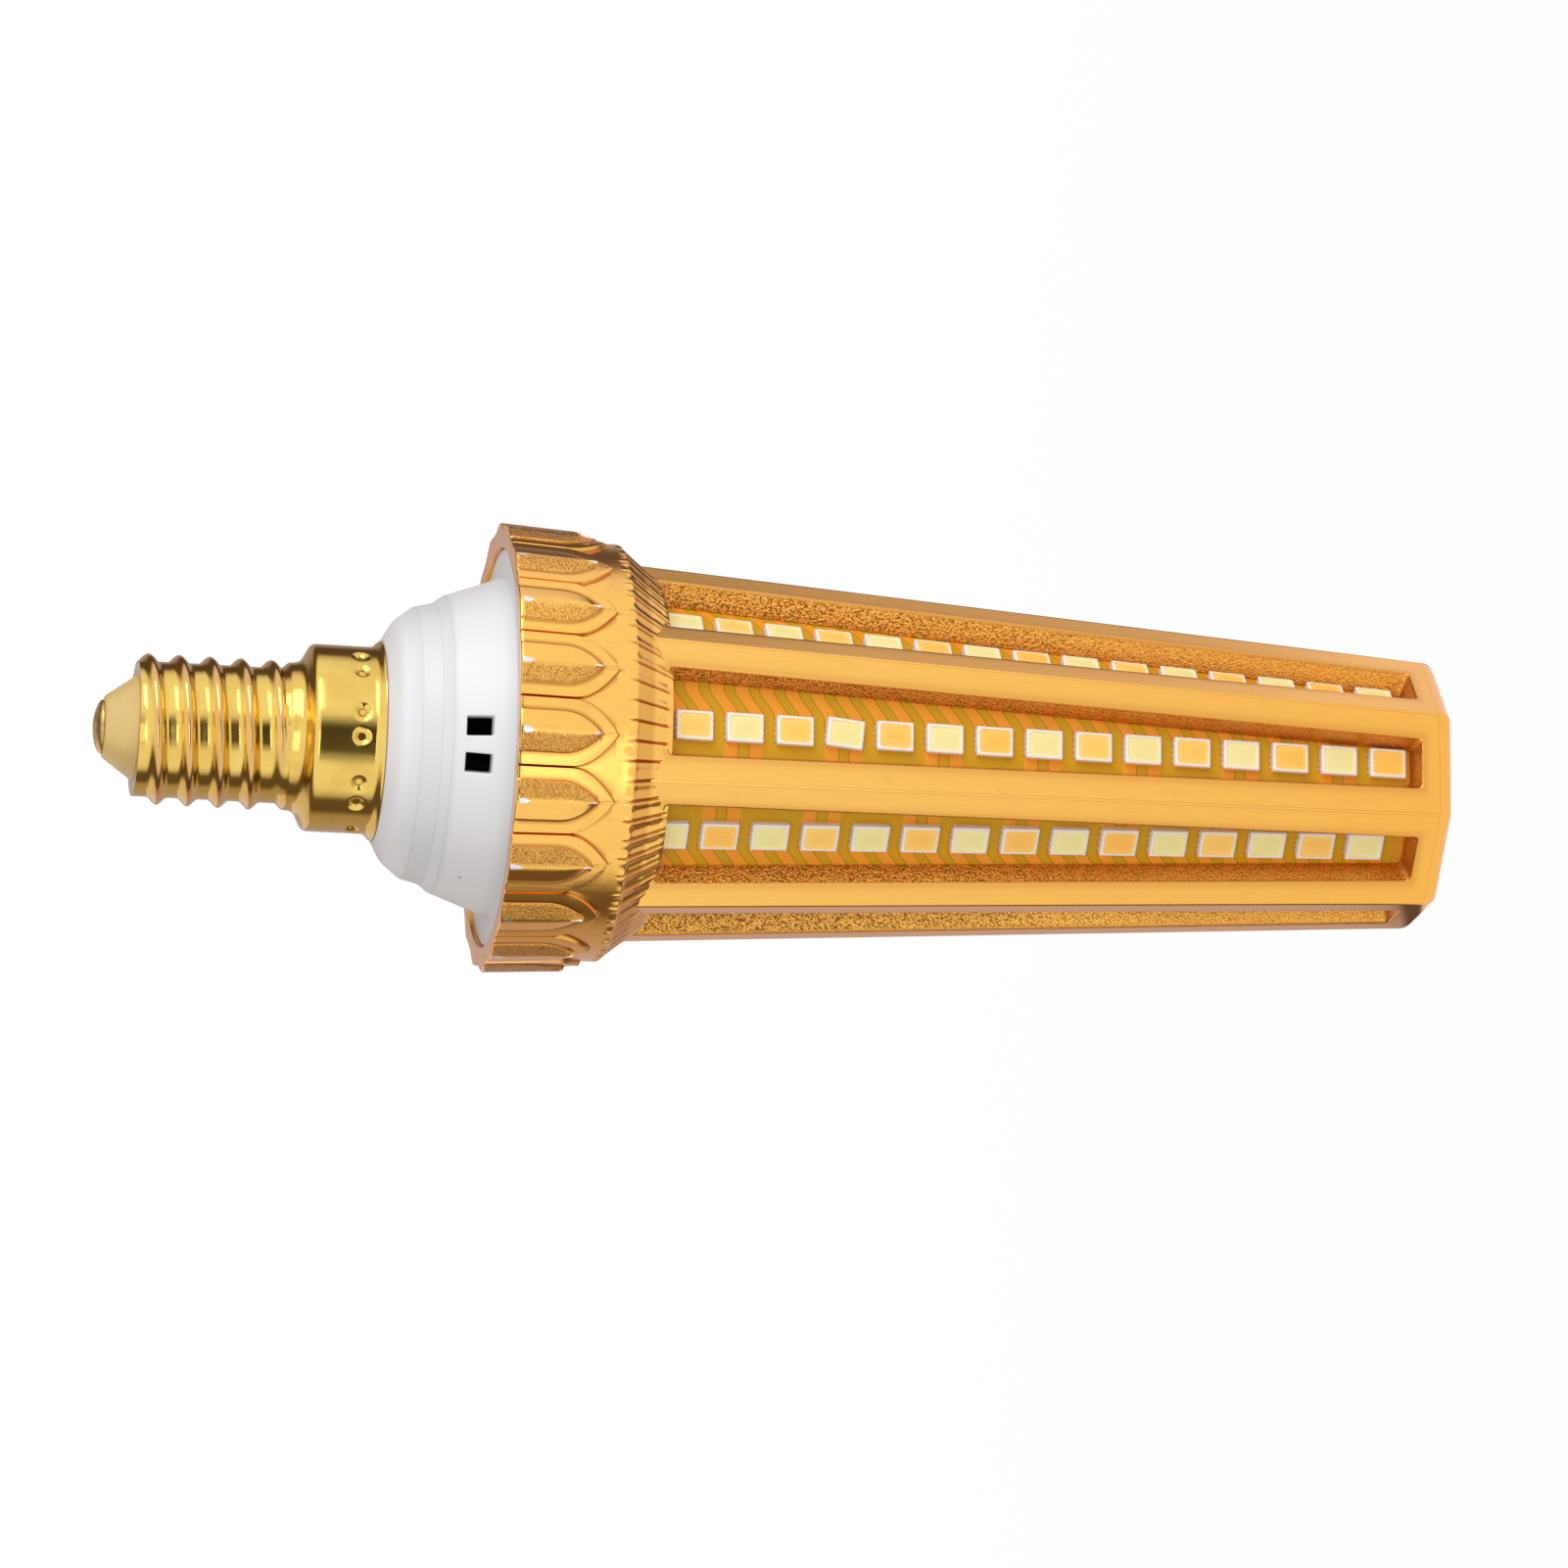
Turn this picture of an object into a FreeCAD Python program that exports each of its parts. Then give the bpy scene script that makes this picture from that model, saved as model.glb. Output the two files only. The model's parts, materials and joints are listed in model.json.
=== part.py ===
import FreeCAD, Part
import math
import os

# A corn LED lamp on an E14 screw cap. It stands on the flat end of its gold shell with the cap up.
# The origin is the middle of that flat end, and +Z runs along the lamp to the cap. Sizes are in
# millimetres. Angles are about the lamp's axis, from the face that looks along -Y towards +X.

# Cage of the shell: a tapered tube with flat faces and a window in each face
FACES = 8
CAGE_TIP_RADIUS = 12.5
CAGE_TOP_RADIUS = 17.65
CAGE_HEIGHT = 77.4
CAGE_WALL = 2.2
TIP_WALL = 1.6
TIP_ROUND = 1.2
CORNER_ROUND = 0.35
CORNER_STRIP = 2.5
WINDOW_START = 3.0
WINDOW_END_STRIP = 3.4
WINDOW_LEAN = 0.7

# Fluted ring that widens from the cage to the collar
FLUTES = 64
FLUTE_LENGTH = 3.1
FLUTE_START_RADIUS = 16.7
FLUTE_DEPTH = 0.38
FLUTE_FACETS = 4

# Collar with its ring of petals
BAND_RADIUS = 19.25
BAND_HEIGHT = 1.0
COLLAR_HEIGHT = 10.7
RIM_RADIUS = 19.85
RIM_BEVEL = 0.2
COLLAR_BORE = 16.8
MOUTH_RADIUS = 18.4
MOUTH_DEPTH = 1.9
PETALS = 20
PETAL_GAP = 0.22
PETAL_START = 0.6
PETAL_POINT = 4.2
PETAL_BULGE = 0.42
PETAL_RISE = 0.45
LEAF_START = 1.45
LEAF_POINT = 3.6
LEAF_HALF_WIDTH = 1.85
LEAF_BULGE = 0.3
LEAF_STEP = 0.12
LEAF_RISE = 0.5

# Flexible circuit and the former that it is wrapped on
BOARD_THICK = 0.3
BOARD_CLEARANCE = 0.05
BOARD_START_GAP = 0.6
BOARD_END_GAP = 0.9
BOARD_SEAM = 0.5
TAB_WIDTH = 7.0
TAB_HEIGHT = 7.2
CORE_WALL = 1.2
CORE_FLANGE_THICK = 1.5
CORE_FLANGE_CLEARANCE = 0.15
CORE_SLOT_SPARE = 0.5

# LED chips, in one row behind each window
ROW_CHIPS = 15
FIRST_CHIP_DROP = 6.05
LAST_CHIP_RISE = 5.914
CHIP_LENGTH = 3.4
CHIP_WIDTH = 2.72
CHIP_THICK = 0.7
CHIP_LENS_INSET = 0.35
CHIP_LENS_DEPTH = 0.12
CHIP_SEAT = 0.02
CHIP_CHANNEL_SPARE = 0.95
CHIP_CHANNEL_RISE = 0.15
ROW_SHIFTS = (0.0, 0.45, 0.8, 1.2, 0.6, 0.2, 1.1, 1.6)
ROW_OFFSETS = (-0.25, 0.05, 0.1, -0.1, 0.0, 0.1, -0.1, 0.15)
ROW_DRIFTS = (0.5, 0.2, 0.1, -0.15, 0.2, -0.1, 0.1, 0.15)
CROOKED_FACE = 0
CROOKED_CHIP = 3
CROOKED_ANGLE = 5.0

# White neck housing
NECK_WALL = 1.5
FLANGE_RECESS = 0.4
FLANGE_CLEARANCE = 0.1
NECK_BASE_RADIUS = 15.65
CONE_HEIGHT = 5.5
CONE_TOP_RADIUS = 13.65
STEP_HEIGHT = 0.9
STEP_RADIUS = 12.95
DRUM_HEIGHT = 1.8
DRUM_TOP_RADIUS = 12.5
DOME_HEIGHT = 2.8
DOME_TOP_RADIUS = 9.25
DOME_BULGE = 0.3
SPIGOT_HEIGHT = 5.6
SPIGOT_CLEARANCE = 0.04
SPIGOT_BORE = 6.0
PRESS_RING_WALL = 1.4
PRESS_RING_GAP = 0.1
VENT_LENGTH = 2.45
VENT_WIDTH = 1.78
VENT_PITCH = 3.47
VENT_RISE = 3.23
VENT_ANGLE = -14.25

# Screw cap
CAP_METAL = 0.35
CAP_RIM_RADIUS = 9.2
CAP_RIM_HEIGHT = 0.7
SKIRT_RADIUS = 8.6
SKIRT_HEIGHT = 6.4
SHOULDER_HEIGHT = 0.9
THROAT_RADIUS = 6.75
THROAT_HEIGHT = 1.1
THROAT_SLOPE = 0.6
THREAD_TUBE_RADIUS = 6.2
THREAD_TUBE_HEIGHT = 14.9
LIP_RADIUS = 4.9
THREAD_PITCH = 2.822
THREAD_TURNS = 4.3
THREAD_GAP = 2.1
THREAD_CREST_RADIUS = 6.9
THREAD_FOOT = 0.9
THREAD_STEPS = 20
CRIMP_PAIRS = 8
CRIMP_ANGLE = -5.0
CRIMP_SPREAD = 15.5
CRIMP_RISE = 2.2
CRIMP_RADIUS = 0.72
CRIMP_FLOOR = 0.3
CRIMP_DEPTH = 0.35
CRIMP_SIDES = 8

# Insulator and contact in the end of the cap
INSULATOR_RISE = 2.9
INSULATOR_TIP_RADIUS = 2.8
INSULATOR_DISC = 1.4
INSULATOR_CLEARANCE = 0.05
CONTACT_RADIUS = 2.45
CONTACT_EDGE = 0.2
CONTACT_CROWN = 0.7
CONTACT_STEM_RADIUS = 0.8
CONTACT_STEM_CLEARANCE = 0.03
CONTACT_STEM_REACH = 0.8

# Driver board, which slides into two grooved ribs inside the neck
DRIVER_WIDTH = 18.0
DRIVER_THICK = 1.2
DRIVER_LENGTH = 28.0
DRIVER_TOP_DROP = 3.1
RIB_WIDTH = 3.2
RIB_START_GAP = 1.4
RIB_GRIP = 0.9
RIB_CLEARANCE = 0.08

# Parts on the driver board, with their places measured down from its top edge
SOLDER_SEAT = 0.02
CAPACITOR_RADIUS = 4.0
CAPACITOR_LENGTH = 11.0
CAPACITOR_GROOVE = 0.3
CAPACITOR_SEAL = 1.2
CAPACITOR_X = 3.9
CAPACITOR_DROP = 1.1
CAPACITOR_LEG = 1.6
INDUCTOR_RADIUS = 3.8
INDUCTOR_CORE_RADIUS = 3.1
INDUCTOR_TALL = 7.0
INDUCTOR_FLANGE = 1.1
INDUCTOR_X = -4.0
INDUCTOR_DROP = 7.0
RECTIFIER_SIZE = (4.7, 1.5, 3.9)
RECTIFIER_X = 3.6
RECTIFIER_DROP = 5.6
DRIVER_CHIP_SIZE = (3.9, 1.45, 4.9)
DRIVER_CHIP_X = -3.4
DRIVER_CHIP_DROP = 11.0
LEG_WIDTH = 0.45
LEG_REACH = 1.0
LEG_THICK = 0.25
RESISTOR_RADIUS = 1.4
RESISTOR_LENGTH = 8.0
RESISTOR_END_RADIUS = 1.6
RESISTOR_X = 4.4
RESISTOR_DROP = 17.0
RESISTOR_LEG = 1.4
PART_LEAD_RADIUS = 0.35
PART_LEAD_BEND = 0.8

# Insulated leads
LEAD_RADIUS = 0.6
CAP_LEAD_X = 2.4
CAP_LEAD_DROP = 1.0
CAP_LEAD_STRAIGHT = 3.0
CAP_LEAD_REACH = 6.0
LIVE_LEAD_BEND = 5.0
NEUTRAL_LEAD_BEND = 2.0
LED_LEAD_X = 2.0
LED_LEAD_DROP = 2.6
LED_LEAD_SAG = 3.0
LED_LEAD_STUB = 3.5
LED_LEAD_BEND = 2.2

ORIGIN = FreeCAD.Vector(0, 0, 0)
UP = FreeCAD.Vector(0, 0, 1)
FRONT = FreeCAD.Vector(0, -1, 0)
SIDE = FreeCAD.Vector(1, 0, 0)
OVERCUT = 1.0
SLIVER = 0.01

FACE_ANGLE = 360.0 / FACES
HALF_FACE = math.radians(FACE_ANGLE / 2)
CAGE_TAPER = (CAGE_TOP_RADIUS - CAGE_TIP_RADIUS) / CAGE_HEIGHT
WINDOW_END = CAGE_HEIGHT - WINDOW_END_STRIP
FIRST_CHIP = CAGE_HEIGHT - FIRST_CHIP_DROP
CHIP_PITCH = (FIRST_CHIP - LAST_CHIP_RISE) / (ROW_CHIPS - 1)
FLUTE_START = CAGE_HEIGHT - FLUTE_LENGTH
BAND_END = CAGE_HEIGHT + BAND_HEIGHT
RIM_HEIGHT = CAGE_HEIGHT + COLLAR_HEIGHT
COLLAR_TAPER = (RIM_RADIUS - BAND_RADIUS) / (RIM_HEIGHT - BAND_END)
PETAL_TIP = BAND_END + PETAL_START
PETAL_SHOULDER = PETAL_TIP + PETAL_POINT
LEAF_TIP = PETAL_TIP + LEAF_START
LEAF_SHOULDER = LEAF_TIP + LEAF_POINT
LEDGE_HEIGHT = CAGE_HEIGHT + SLIVER
BOARD_START = WINDOW_START + BOARD_START_GAP
BOARD_TOP = CAGE_HEIGHT - BOARD_END_GAP
TAB_TOP = BOARD_TOP + TAB_HEIGHT
BOARD_DEPTH = CAGE_WALL + BOARD_CLEARANCE
CORE_DEPTH = BOARD_DEPTH + BOARD_THICK + BOARD_CLEARANCE
CORE_FLANGE_TOP = LEDGE_HEIGHT + CORE_FLANGE_THICK
FLANGE_TOP = RIM_HEIGHT - FLANGE_RECESS
FLANGE_BOTTOM = RIM_HEIGHT - MOUTH_DEPTH
CONE_TOP = FLANGE_TOP + CONE_HEIGHT
STEP_TOP = CONE_TOP + STEP_HEIGHT
DRUM_TOP = STEP_TOP + DRUM_HEIGHT
NECK_TOP = DRUM_TOP + DOME_HEIGHT
SPIGOT_TOP = NECK_TOP + SPIGOT_HEIGHT
PRESS_RING_BOTTOM = CORE_FLANGE_TOP + PRESS_RING_GAP
SKIRT_TOP = NECK_TOP + SKIRT_HEIGHT
CRIMP_HEIGHT = NECK_TOP + CRIMP_RISE
SHOULDER_TOP = SKIRT_TOP + SHOULDER_HEIGHT
THROAT_TOP = SHOULDER_TOP + THROAT_HEIGHT
CAP_END = SHOULDER_TOP + THREAD_TUBE_HEIGHT
INSULATOR_TIP = CAP_END + INSULATOR_RISE
STEM_LOW = CAP_END - CAP_METAL - INSULATOR_DISC - CONTACT_STEM_REACH
DRIVER_TOP = NECK_TOP - DRIVER_TOP_DROP
DRIVER_BOTTOM = DRIVER_TOP - DRIVER_LENGTH
DRIVER_FACE = DRIVER_THICK / 2 + SOLDER_SEAT


def cage_radius(height):
    """Distance from the axis to a corner of the cage."""
    return CAGE_TIP_RADIUS + CAGE_TAPER * height


def face_distance(height, depth=0.0):
    """Distance from the axis to a cage face, or to a plane that lies a depth below it."""
    return cage_radius(height) * math.cos(HALF_FACE) - depth


def half_face_width(height):
    """Half the width of a cage face."""
    return cage_radius(height) * math.sin(HALF_FACE)


def around(shape, degrees):
    """A copy of a shape, turned about the lamp's axis."""
    copy = shape.copy()
    copy.rotate(ORIGIN, UP, degrees)
    return copy


def ring_of(shape, count, first=0.0):
    """Copies of a shape, evenly spaced about the axis."""
    return [around(shape, first + 360.0 * index / count) for index in range(count)]


def outline(corners):
    """A closed wire of (radius, height) corners. Two more values in a corner give an arc that ends there."""
    edges = []
    for here, there in zip(corners, corners[1:] + corners[:1]):
        start = FreeCAD.Vector(here[0], 0, here[1])
        end = FreeCAD.Vector(there[0], 0, there[1])
        if len(there) == 4:
            edges.append(Part.Arc(start, FreeCAD.Vector(there[2], 0, there[3]), end).toShape())
        else:
            edges.append(Part.makeLine(start, end))
    return Part.Wire(edges)


def turned(corners):
    """A solid turned from an outline of (radius, height) corners."""
    return Part.Face(outline(corners)).revolve(ORIGIN, UP, 360)


def faceted(sections):
    """A solid with flat facets through sections of the same number of points, each section a flat loop."""
    faces = []
    for here, there in zip(sections, sections[1:]):
        for index in range(len(here)):
            after = (index + 1) % len(here)
            for corners in ([here[index], here[after], there[after]],
                            [here[index], there[after], there[index]]):
                faces.append(Part.Face(Part.makePolygon(corners + corners[:1])))
    for end in (sections[0], sections[-1]):
        faces.append(Part.Face(Part.makePolygon(end + end[:1])))
    solid = Part.Solid(Part.Shell(faces)).removeSplitter()
    if solid.Volume < 0:
        solid.reverse()
    return solid


def octagon(height, depth):
    """The cage's corners at one height, a depth below its faces."""
    radius = face_distance(height, depth) / math.cos(HALF_FACE)
    points = []
    for index in range(FACES):
        angle = math.radians(FACE_ANGLE * (index + 0.5))
        points.append(FreeCAD.Vector(radius * math.sin(angle), -radius * math.cos(angle), height))
    return points


def tapered_octagon(low, high, depth=0.0):
    """A solid with the cage's taper between two heights."""
    return faceted([octagon(low, depth), octagon(high, depth)])


def box(low, high):
    """A box between two corners."""
    size = [b - a for a, b in zip(low, high)]
    return Part.makeBox(size[0], size[1], size[2], FreeCAD.Vector(low[0], low[1], low[2]))


def bent_rod(points, bend, radius):
    """A round rod of straight runs, joined by quarter rings or less of one bend radius."""
    corners = [FreeCAD.Vector(x, y, z) for x, y, z in points]
    pieces = []
    start = corners[0]
    for before, corner, after in zip(corners, corners[1:], corners[2:]):
        back = (before - corner).normalize()
        on = (after - corner).normalize()
        half = back.getAngle(on) / 2
        setback = bend / math.tan(half)
        enter = corner + back * setback
        centre = corner + (back + on).normalize() * (bend / math.sin(half))
        section = Part.Face(Part.Wire([Part.makeCircle(radius, enter, back)]))
        turn = 180.0 - math.degrees(2 * half)
        pieces.append(Part.makeCylinder(radius, (enter - start).Length, start, back * -1))
        pieces.append(section.revolve(centre, (back * -1).cross(on).normalize(), turn))
        start = corner + on * setback
    last = corners[-1] - start
    pieces.append(Part.makeCylinder(radius, last.Length, start, last))
    return pieces[0].fuse(pieces[1:]).removeSplitter()


def window_outline(depth):
    """The window of the front face at one depth: its sides and ends lean in towards the board."""
    lean = WINDOW_LEAN * depth / CAGE_WALL
    corners = []
    for height, side in ((WINDOW_START + lean, -1), (WINDOW_START + lean, 1),
                         (WINDOW_END - lean, 1), (WINDOW_END - lean, -1)):
        half = half_face_width(height) - CORNER_STRIP - lean
        corners.append(FreeCAD.Vector(side * half, -face_distance(height, depth), height))
    return corners


def window_cutter():
    """What is cut out of the front face."""
    return faceted([window_outline(-OVERCUT), window_outline(CAGE_WALL + OVERCUT)])


def channel_outline(height):
    """Section of the channel that lets a row of chips slide past the end of its window."""
    half = CHIP_WIDTH / 2 + CHIP_CHANNEL_SPARE
    inner = face_distance(height, BOARD_DEPTH + OVERCUT)
    outer = face_distance(height, BOARD_DEPTH - CHIP_THICK - CHIP_CHANNEL_RISE)
    return [FreeCAD.Vector(x, -y, height) for x, y in
            ((-half, inner), (half, inner), (half, outer), (-half, outer))]


def chip_channel():
    """The channel inside the front face, from its window to the ledge in the collar."""
    low = WINDOW_END - 2 * WINDOW_LEAN
    return faceted([channel_outline(low), channel_outline(LEDGE_HEIGHT + SLIVER)])


def cage():
    """The outside of the cage, with its flat end and its long corners rounded off."""
    solid = tapered_octagon(0, CAGE_HEIGHT)
    ends = [edge for edge in solid.Edges if edge.BoundBox.ZMax < SLIVER]
    blunt = solid.makeFillet(TIP_ROUND, ends)
    corners = [edge for edge in blunt.Edges if edge.BoundBox.ZLength > CAGE_HEIGHT / 2]
    return blunt.makeFillet(CORNER_ROUND, corners)


def spin(point, degrees):
    """A point turned about the lamp's axis."""
    return FreeCAD.Rotation(UP, degrees).multVec(point)


def fluted_section(radius, height):
    """A ring of rounded crests with sharp valleys between them."""
    points = []
    for step in range(FLUTES * FLUTE_FACETS):
        sink = FLUTE_DEPTH * (1 - abs(math.sin(math.pi * step / FLUTE_FACETS)))
        points.append(spin(FreeCAD.Vector(0, sink - radius, height), 360.0 * step / FLUTES / FLUTE_FACETS))
    return points


def fluted_ring():
    """The ring of flutes between the cage and the collar."""
    low = fluted_section(FLUTE_START_RADIUS, FLUTE_START)
    return faceted([low, fluted_section(BAND_RADIUS, CAGE_HEIGHT)])


def collar_radius(height):
    """Radius of the plain collar under its petals."""
    return BAND_RADIUS + COLLAR_TAPER * max(0.0, height - BAND_END)


def collar():
    """The collar without its petals, solid inside."""
    bevel = RIM_HEIGHT - RIM_BEVEL
    return turned([(0, CAGE_HEIGHT), (BAND_RADIUS, CAGE_HEIGHT), (BAND_RADIUS, BAND_END),
                   (collar_radius(bevel), bevel), (RIM_RADIUS - RIM_BEVEL, RIM_HEIGHT), (0, RIM_HEIGHT)])


def pointed_prism(half_width, tip, shoulder, bulge):
    """A pointed arch with its tip down, carried straight out through the front of the collar."""
    def point(across, height):
        return FreeCAD.Vector(across, -COLLAR_BORE - OVERCUT, height)
    middle = (tip + shoulder) / 2
    edges = [Part.makeLine(point(-half_width, RIM_HEIGHT), point(-half_width, shoulder)),
             Part.Arc(point(-half_width, shoulder), point(-half_width / 2 - bulge, middle - bulge),
                      point(0, tip)).toShape(),
             Part.Arc(point(0, tip), point(half_width / 2 + bulge, middle - bulge),
                      point(half_width, shoulder)).toShape(),
             Part.makeLine(point(half_width, shoulder), point(half_width, RIM_HEIGHT)),
             Part.makeLine(point(half_width, RIM_HEIGHT), point(-half_width, RIM_HEIGHT))]
    reach = RIM_RADIUS + PETAL_RISE + LEAF_RISE - COLLAR_BORE
    return Part.Face(Part.Wire(edges)).extrude(FRONT * reach)


def roof_section(height):
    """Section of the leaf at one height: low at its sides, with a ridge along its middle."""
    surface = collar_radius(height) + PETAL_RISE
    half = LEAF_HALF_WIDTH + OVERCUT
    eaves = surface + LEAF_STEP - (LEAF_RISE - LEAF_STEP) * OVERCUT / LEAF_HALF_WIDTH
    return [FreeCAD.Vector(x, -y, height) for x, y in
            ((-half, COLLAR_BORE + OVERCUT), (half, COLLAR_BORE + OVERCUT), (half, eaves),
             (0, surface + LEAF_RISE), (-half, eaves))]


def petal():
    """One petal on the front of the collar: a raised pointed arch that carries a roof-shaped leaf."""
    half = RIM_RADIUS * math.sin(math.pi / PETALS) - PETAL_GAP / 2
    core = COLLAR_BORE + OVERCUT
    foot = collar_radius(PETAL_TIP) + PETAL_RISE
    skin = turned([(core, PETAL_TIP - OVERCUT), (foot, PETAL_TIP - OVERCUT), (foot, PETAL_TIP),
                   (RIM_RADIUS + PETAL_RISE, RIM_HEIGHT), (core, RIM_HEIGHT)])
    arch = pointed_prism(half, PETAL_TIP, PETAL_SHOULDER, PETAL_BULGE).common(skin)
    roof = faceted([roof_section(LEAF_TIP - OVERCUT), roof_section(RIM_HEIGHT)])
    leaf = pointed_prism(LEAF_HALF_WIDTH, LEAF_TIP, LEAF_SHOULDER, LEAF_BULGE).common(roof)
    return arch.fuse(leaf).removeSplitter()


def gold_shell():
    """The shell, moulded in one piece: petal collar, fluted ring and windowed cage."""
    petals = ring_of(petal(), PETALS, 180.0 / PETALS)
    solid = cage().fuse([fluted_ring(), collar()]).fuse(petals)
    bore = turned([(0, LEDGE_HEIGHT), (COLLAR_BORE, LEDGE_HEIGHT), (COLLAR_BORE, FLANGE_BOTTOM),
                   (MOUTH_RADIUS, FLANGE_BOTTOM), (MOUTH_RADIUS, RIM_HEIGHT + OVERCUT),
                   (0, RIM_HEIGHT + OVERCUT)])
    cavity = tapered_octagon(TIP_WALL, LEDGE_HEIGHT + SLIVER, CAGE_WALL)
    cutters = [bore, cavity] + ring_of(window_cutter(), FACES) + ring_of(chip_channel(), FACES)
    return solid.cut(cutters).removeSplitter()


def tab_box(low, high, width, inner, outer):
    """A block on the back of the lamp, where the tab of the flexible circuit stands."""
    return box((-width / 2, inner, low), (width / 2, outer, high))


def led_board():
    """The flexible circuit: an open eight-sided sleeve with a tab for the leads at the back."""
    outside = tapered_octagon(BOARD_START, BOARD_TOP, BOARD_DEPTH)
    inside = tapered_octagon(BOARD_START - OVERCUT, BOARD_TOP + OVERCUT, BOARD_DEPTH + BOARD_THICK)
    sleeve = outside.cut(inside)
    seam = box((-BOARD_SEAM / 2, 0, BOARD_START - OVERCUT),
               (BOARD_SEAM / 2, CAGE_TOP_RADIUS + OVERCUT, BOARD_TOP + OVERCUT))
    outer = face_distance(BOARD_TOP, BOARD_DEPTH)
    tab = tab_box(BOARD_TOP - SLIVER, TAB_TOP, TAB_WIDTH, outer - BOARD_THICK, outer)
    return sleeve.cut(around(seam, FACE_ANGLE / 2)).fuse(tab).removeSplitter()


def board_core():
    """The former inside the circuit: an eight-sided tube with a round flange on the collar's ledge."""
    tube = tapered_octagon(TIP_WALL, CORE_FLANGE_TOP, CORE_DEPTH)
    flange = Part.makeCylinder(COLLAR_BORE - CORE_FLANGE_CLEARANCE, CORE_FLANGE_THICK,
                               FreeCAD.Vector(0, 0, LEDGE_HEIGHT))
    hollow = tapered_octagon(TIP_WALL - OVERCUT, CORE_FLANGE_TOP + OVERCUT, CORE_DEPTH + CORE_WALL)
    tab_inner = face_distance(BOARD_TOP, CORE_DEPTH)
    notch = tab_box(LEDGE_HEIGHT - OVERCUT, CORE_FLANGE_TOP + OVERCUT, TAB_WIDTH + 2 * CORE_SLOT_SPARE,
                    tab_inner, COLLAR_BORE + OVERCUT)
    return tube.fuse(flange).cut([hollow, notch]).removeSplitter()


def chip(height, face, offset, tilt):
    """One LED chip on the board, offset from the window's middle, with a shallow lens in its face."""
    wide = CHIP_WIDTH / 2
    long = CHIP_LENGTH / 2
    body = box((-wide, -CHIP_THICK, -long), (wide, 0, long))
    lens = box((CHIP_LENS_INSET - wide, -CHIP_THICK - OVERCUT, CHIP_LENS_INSET - long),
               (wide - CHIP_LENS_INSET, CHIP_LENS_DEPTH - CHIP_THICK, long - CHIP_LENS_INSET))
    solid = body.cut(lens)
    solid.rotate(ORIGIN, FRONT, tilt)
    solid.rotate(ORIGIN, SIDE, math.degrees(math.atan(CAGE_TAPER * math.cos(HALF_FACE))))
    solid.translate(FreeCAD.Vector(offset, -face_distance(height, BOARD_DEPTH) - CHIP_SEAT, height))
    solid.rotate(ORIGIN, UP, FACE_ANGLE * face)
    return solid


def led_rows():
    """Two groups of chips for each face: warm and cool ones take turns along a row that slants a little."""
    groups = {}
    middle = (ROW_CHIPS - 1) / 2
    for face in range(FACES):
        for index in range(ROW_CHIPS):
            warm = (index + face) % 2 == 0
            name = "{}_leds_row_{}".format("warm" if warm else "cool", face + 1)
            tilt = CROOKED_ANGLE if (face, index) == (CROOKED_FACE, CROOKED_CHIP) else 0.0
            row = face % len(ROW_SHIFTS)
            height = FIRST_CHIP + ROW_SHIFTS[row] - CHIP_PITCH * index
            offset = ROW_OFFSETS[row] + ROW_DRIFTS[row] * (index - middle) / middle
            groups.setdefault(name, []).append(chip(height, face, offset, tilt))
    return {name: Part.makeCompound(chips) for name, chips in groups.items()}


def neck_outside():
    """The outside of the neck as a solid, from the press ring in the collar to the spigot in the cap."""
    ring_radius = COLLAR_BORE - FLANGE_CLEARANCE
    spigot = SKIRT_RADIUS - CAP_METAL - SPIGOT_CLEARANCE
    flange = MOUTH_RADIUS - FLANGE_CLEARANCE
    dome_radius = (DRUM_TOP_RADIUS + DOME_TOP_RADIUS) / 2 + DOME_BULGE
    dome_bend = (DRUM_TOP + NECK_TOP) / 2 + DOME_BULGE
    crimp = spigot - CRIMP_DEPTH - CAP_METAL
    return turned([(0, PRESS_RING_BOTTOM), (ring_radius, PRESS_RING_BOTTOM), (ring_radius, FLANGE_BOTTOM),
                   (flange, FLANGE_BOTTOM), (flange, FLANGE_TOP), (NECK_BASE_RADIUS, FLANGE_TOP),
                   (CONE_TOP_RADIUS, CONE_TOP), (STEP_RADIUS, STEP_TOP), (DRUM_TOP_RADIUS, DRUM_TOP),
                   (dome_radius, dome_bend), (DOME_TOP_RADIUS, NECK_TOP), (spigot, NECK_TOP),
                   (spigot, CRIMP_HEIGHT - 2 * CRIMP_RADIUS), (crimp, CRIMP_HEIGHT - CRIMP_RADIUS),
                   (crimp, CRIMP_HEIGHT + CRIMP_RADIUS), (spigot, CRIMP_HEIGHT + 2 * CRIMP_RADIUS),
                   (spigot, SPIGOT_TOP), (0, SPIGOT_TOP)])


def neck_inside():
    """The hollow of the neck."""
    low = PRESS_RING_BOTTOM - OVERCUT
    ring = COLLAR_BORE - FLANGE_CLEARANCE - PRESS_RING_WALL
    roof = NECK_TOP - NECK_WALL
    return turned([(0, low), (ring, low), (ring, FLANGE_BOTTOM - NECK_WALL),
                   (NECK_BASE_RADIUS - NECK_WALL, FLANGE_BOTTOM),
                   (DRUM_TOP_RADIUS - NECK_WALL, STEP_TOP - NECK_WALL / 2),
                   (DRUM_TOP_RADIUS - NECK_WALL, DRUM_TOP - NECK_WALL / 2),
                   (DOME_TOP_RADIUS - NECK_WALL, roof), (SPIGOT_BORE, roof),
                   (SPIGOT_BORE, SPIGOT_TOP + OVERCUT), (0, SPIGOT_TOP + OVERCUT)])


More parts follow.
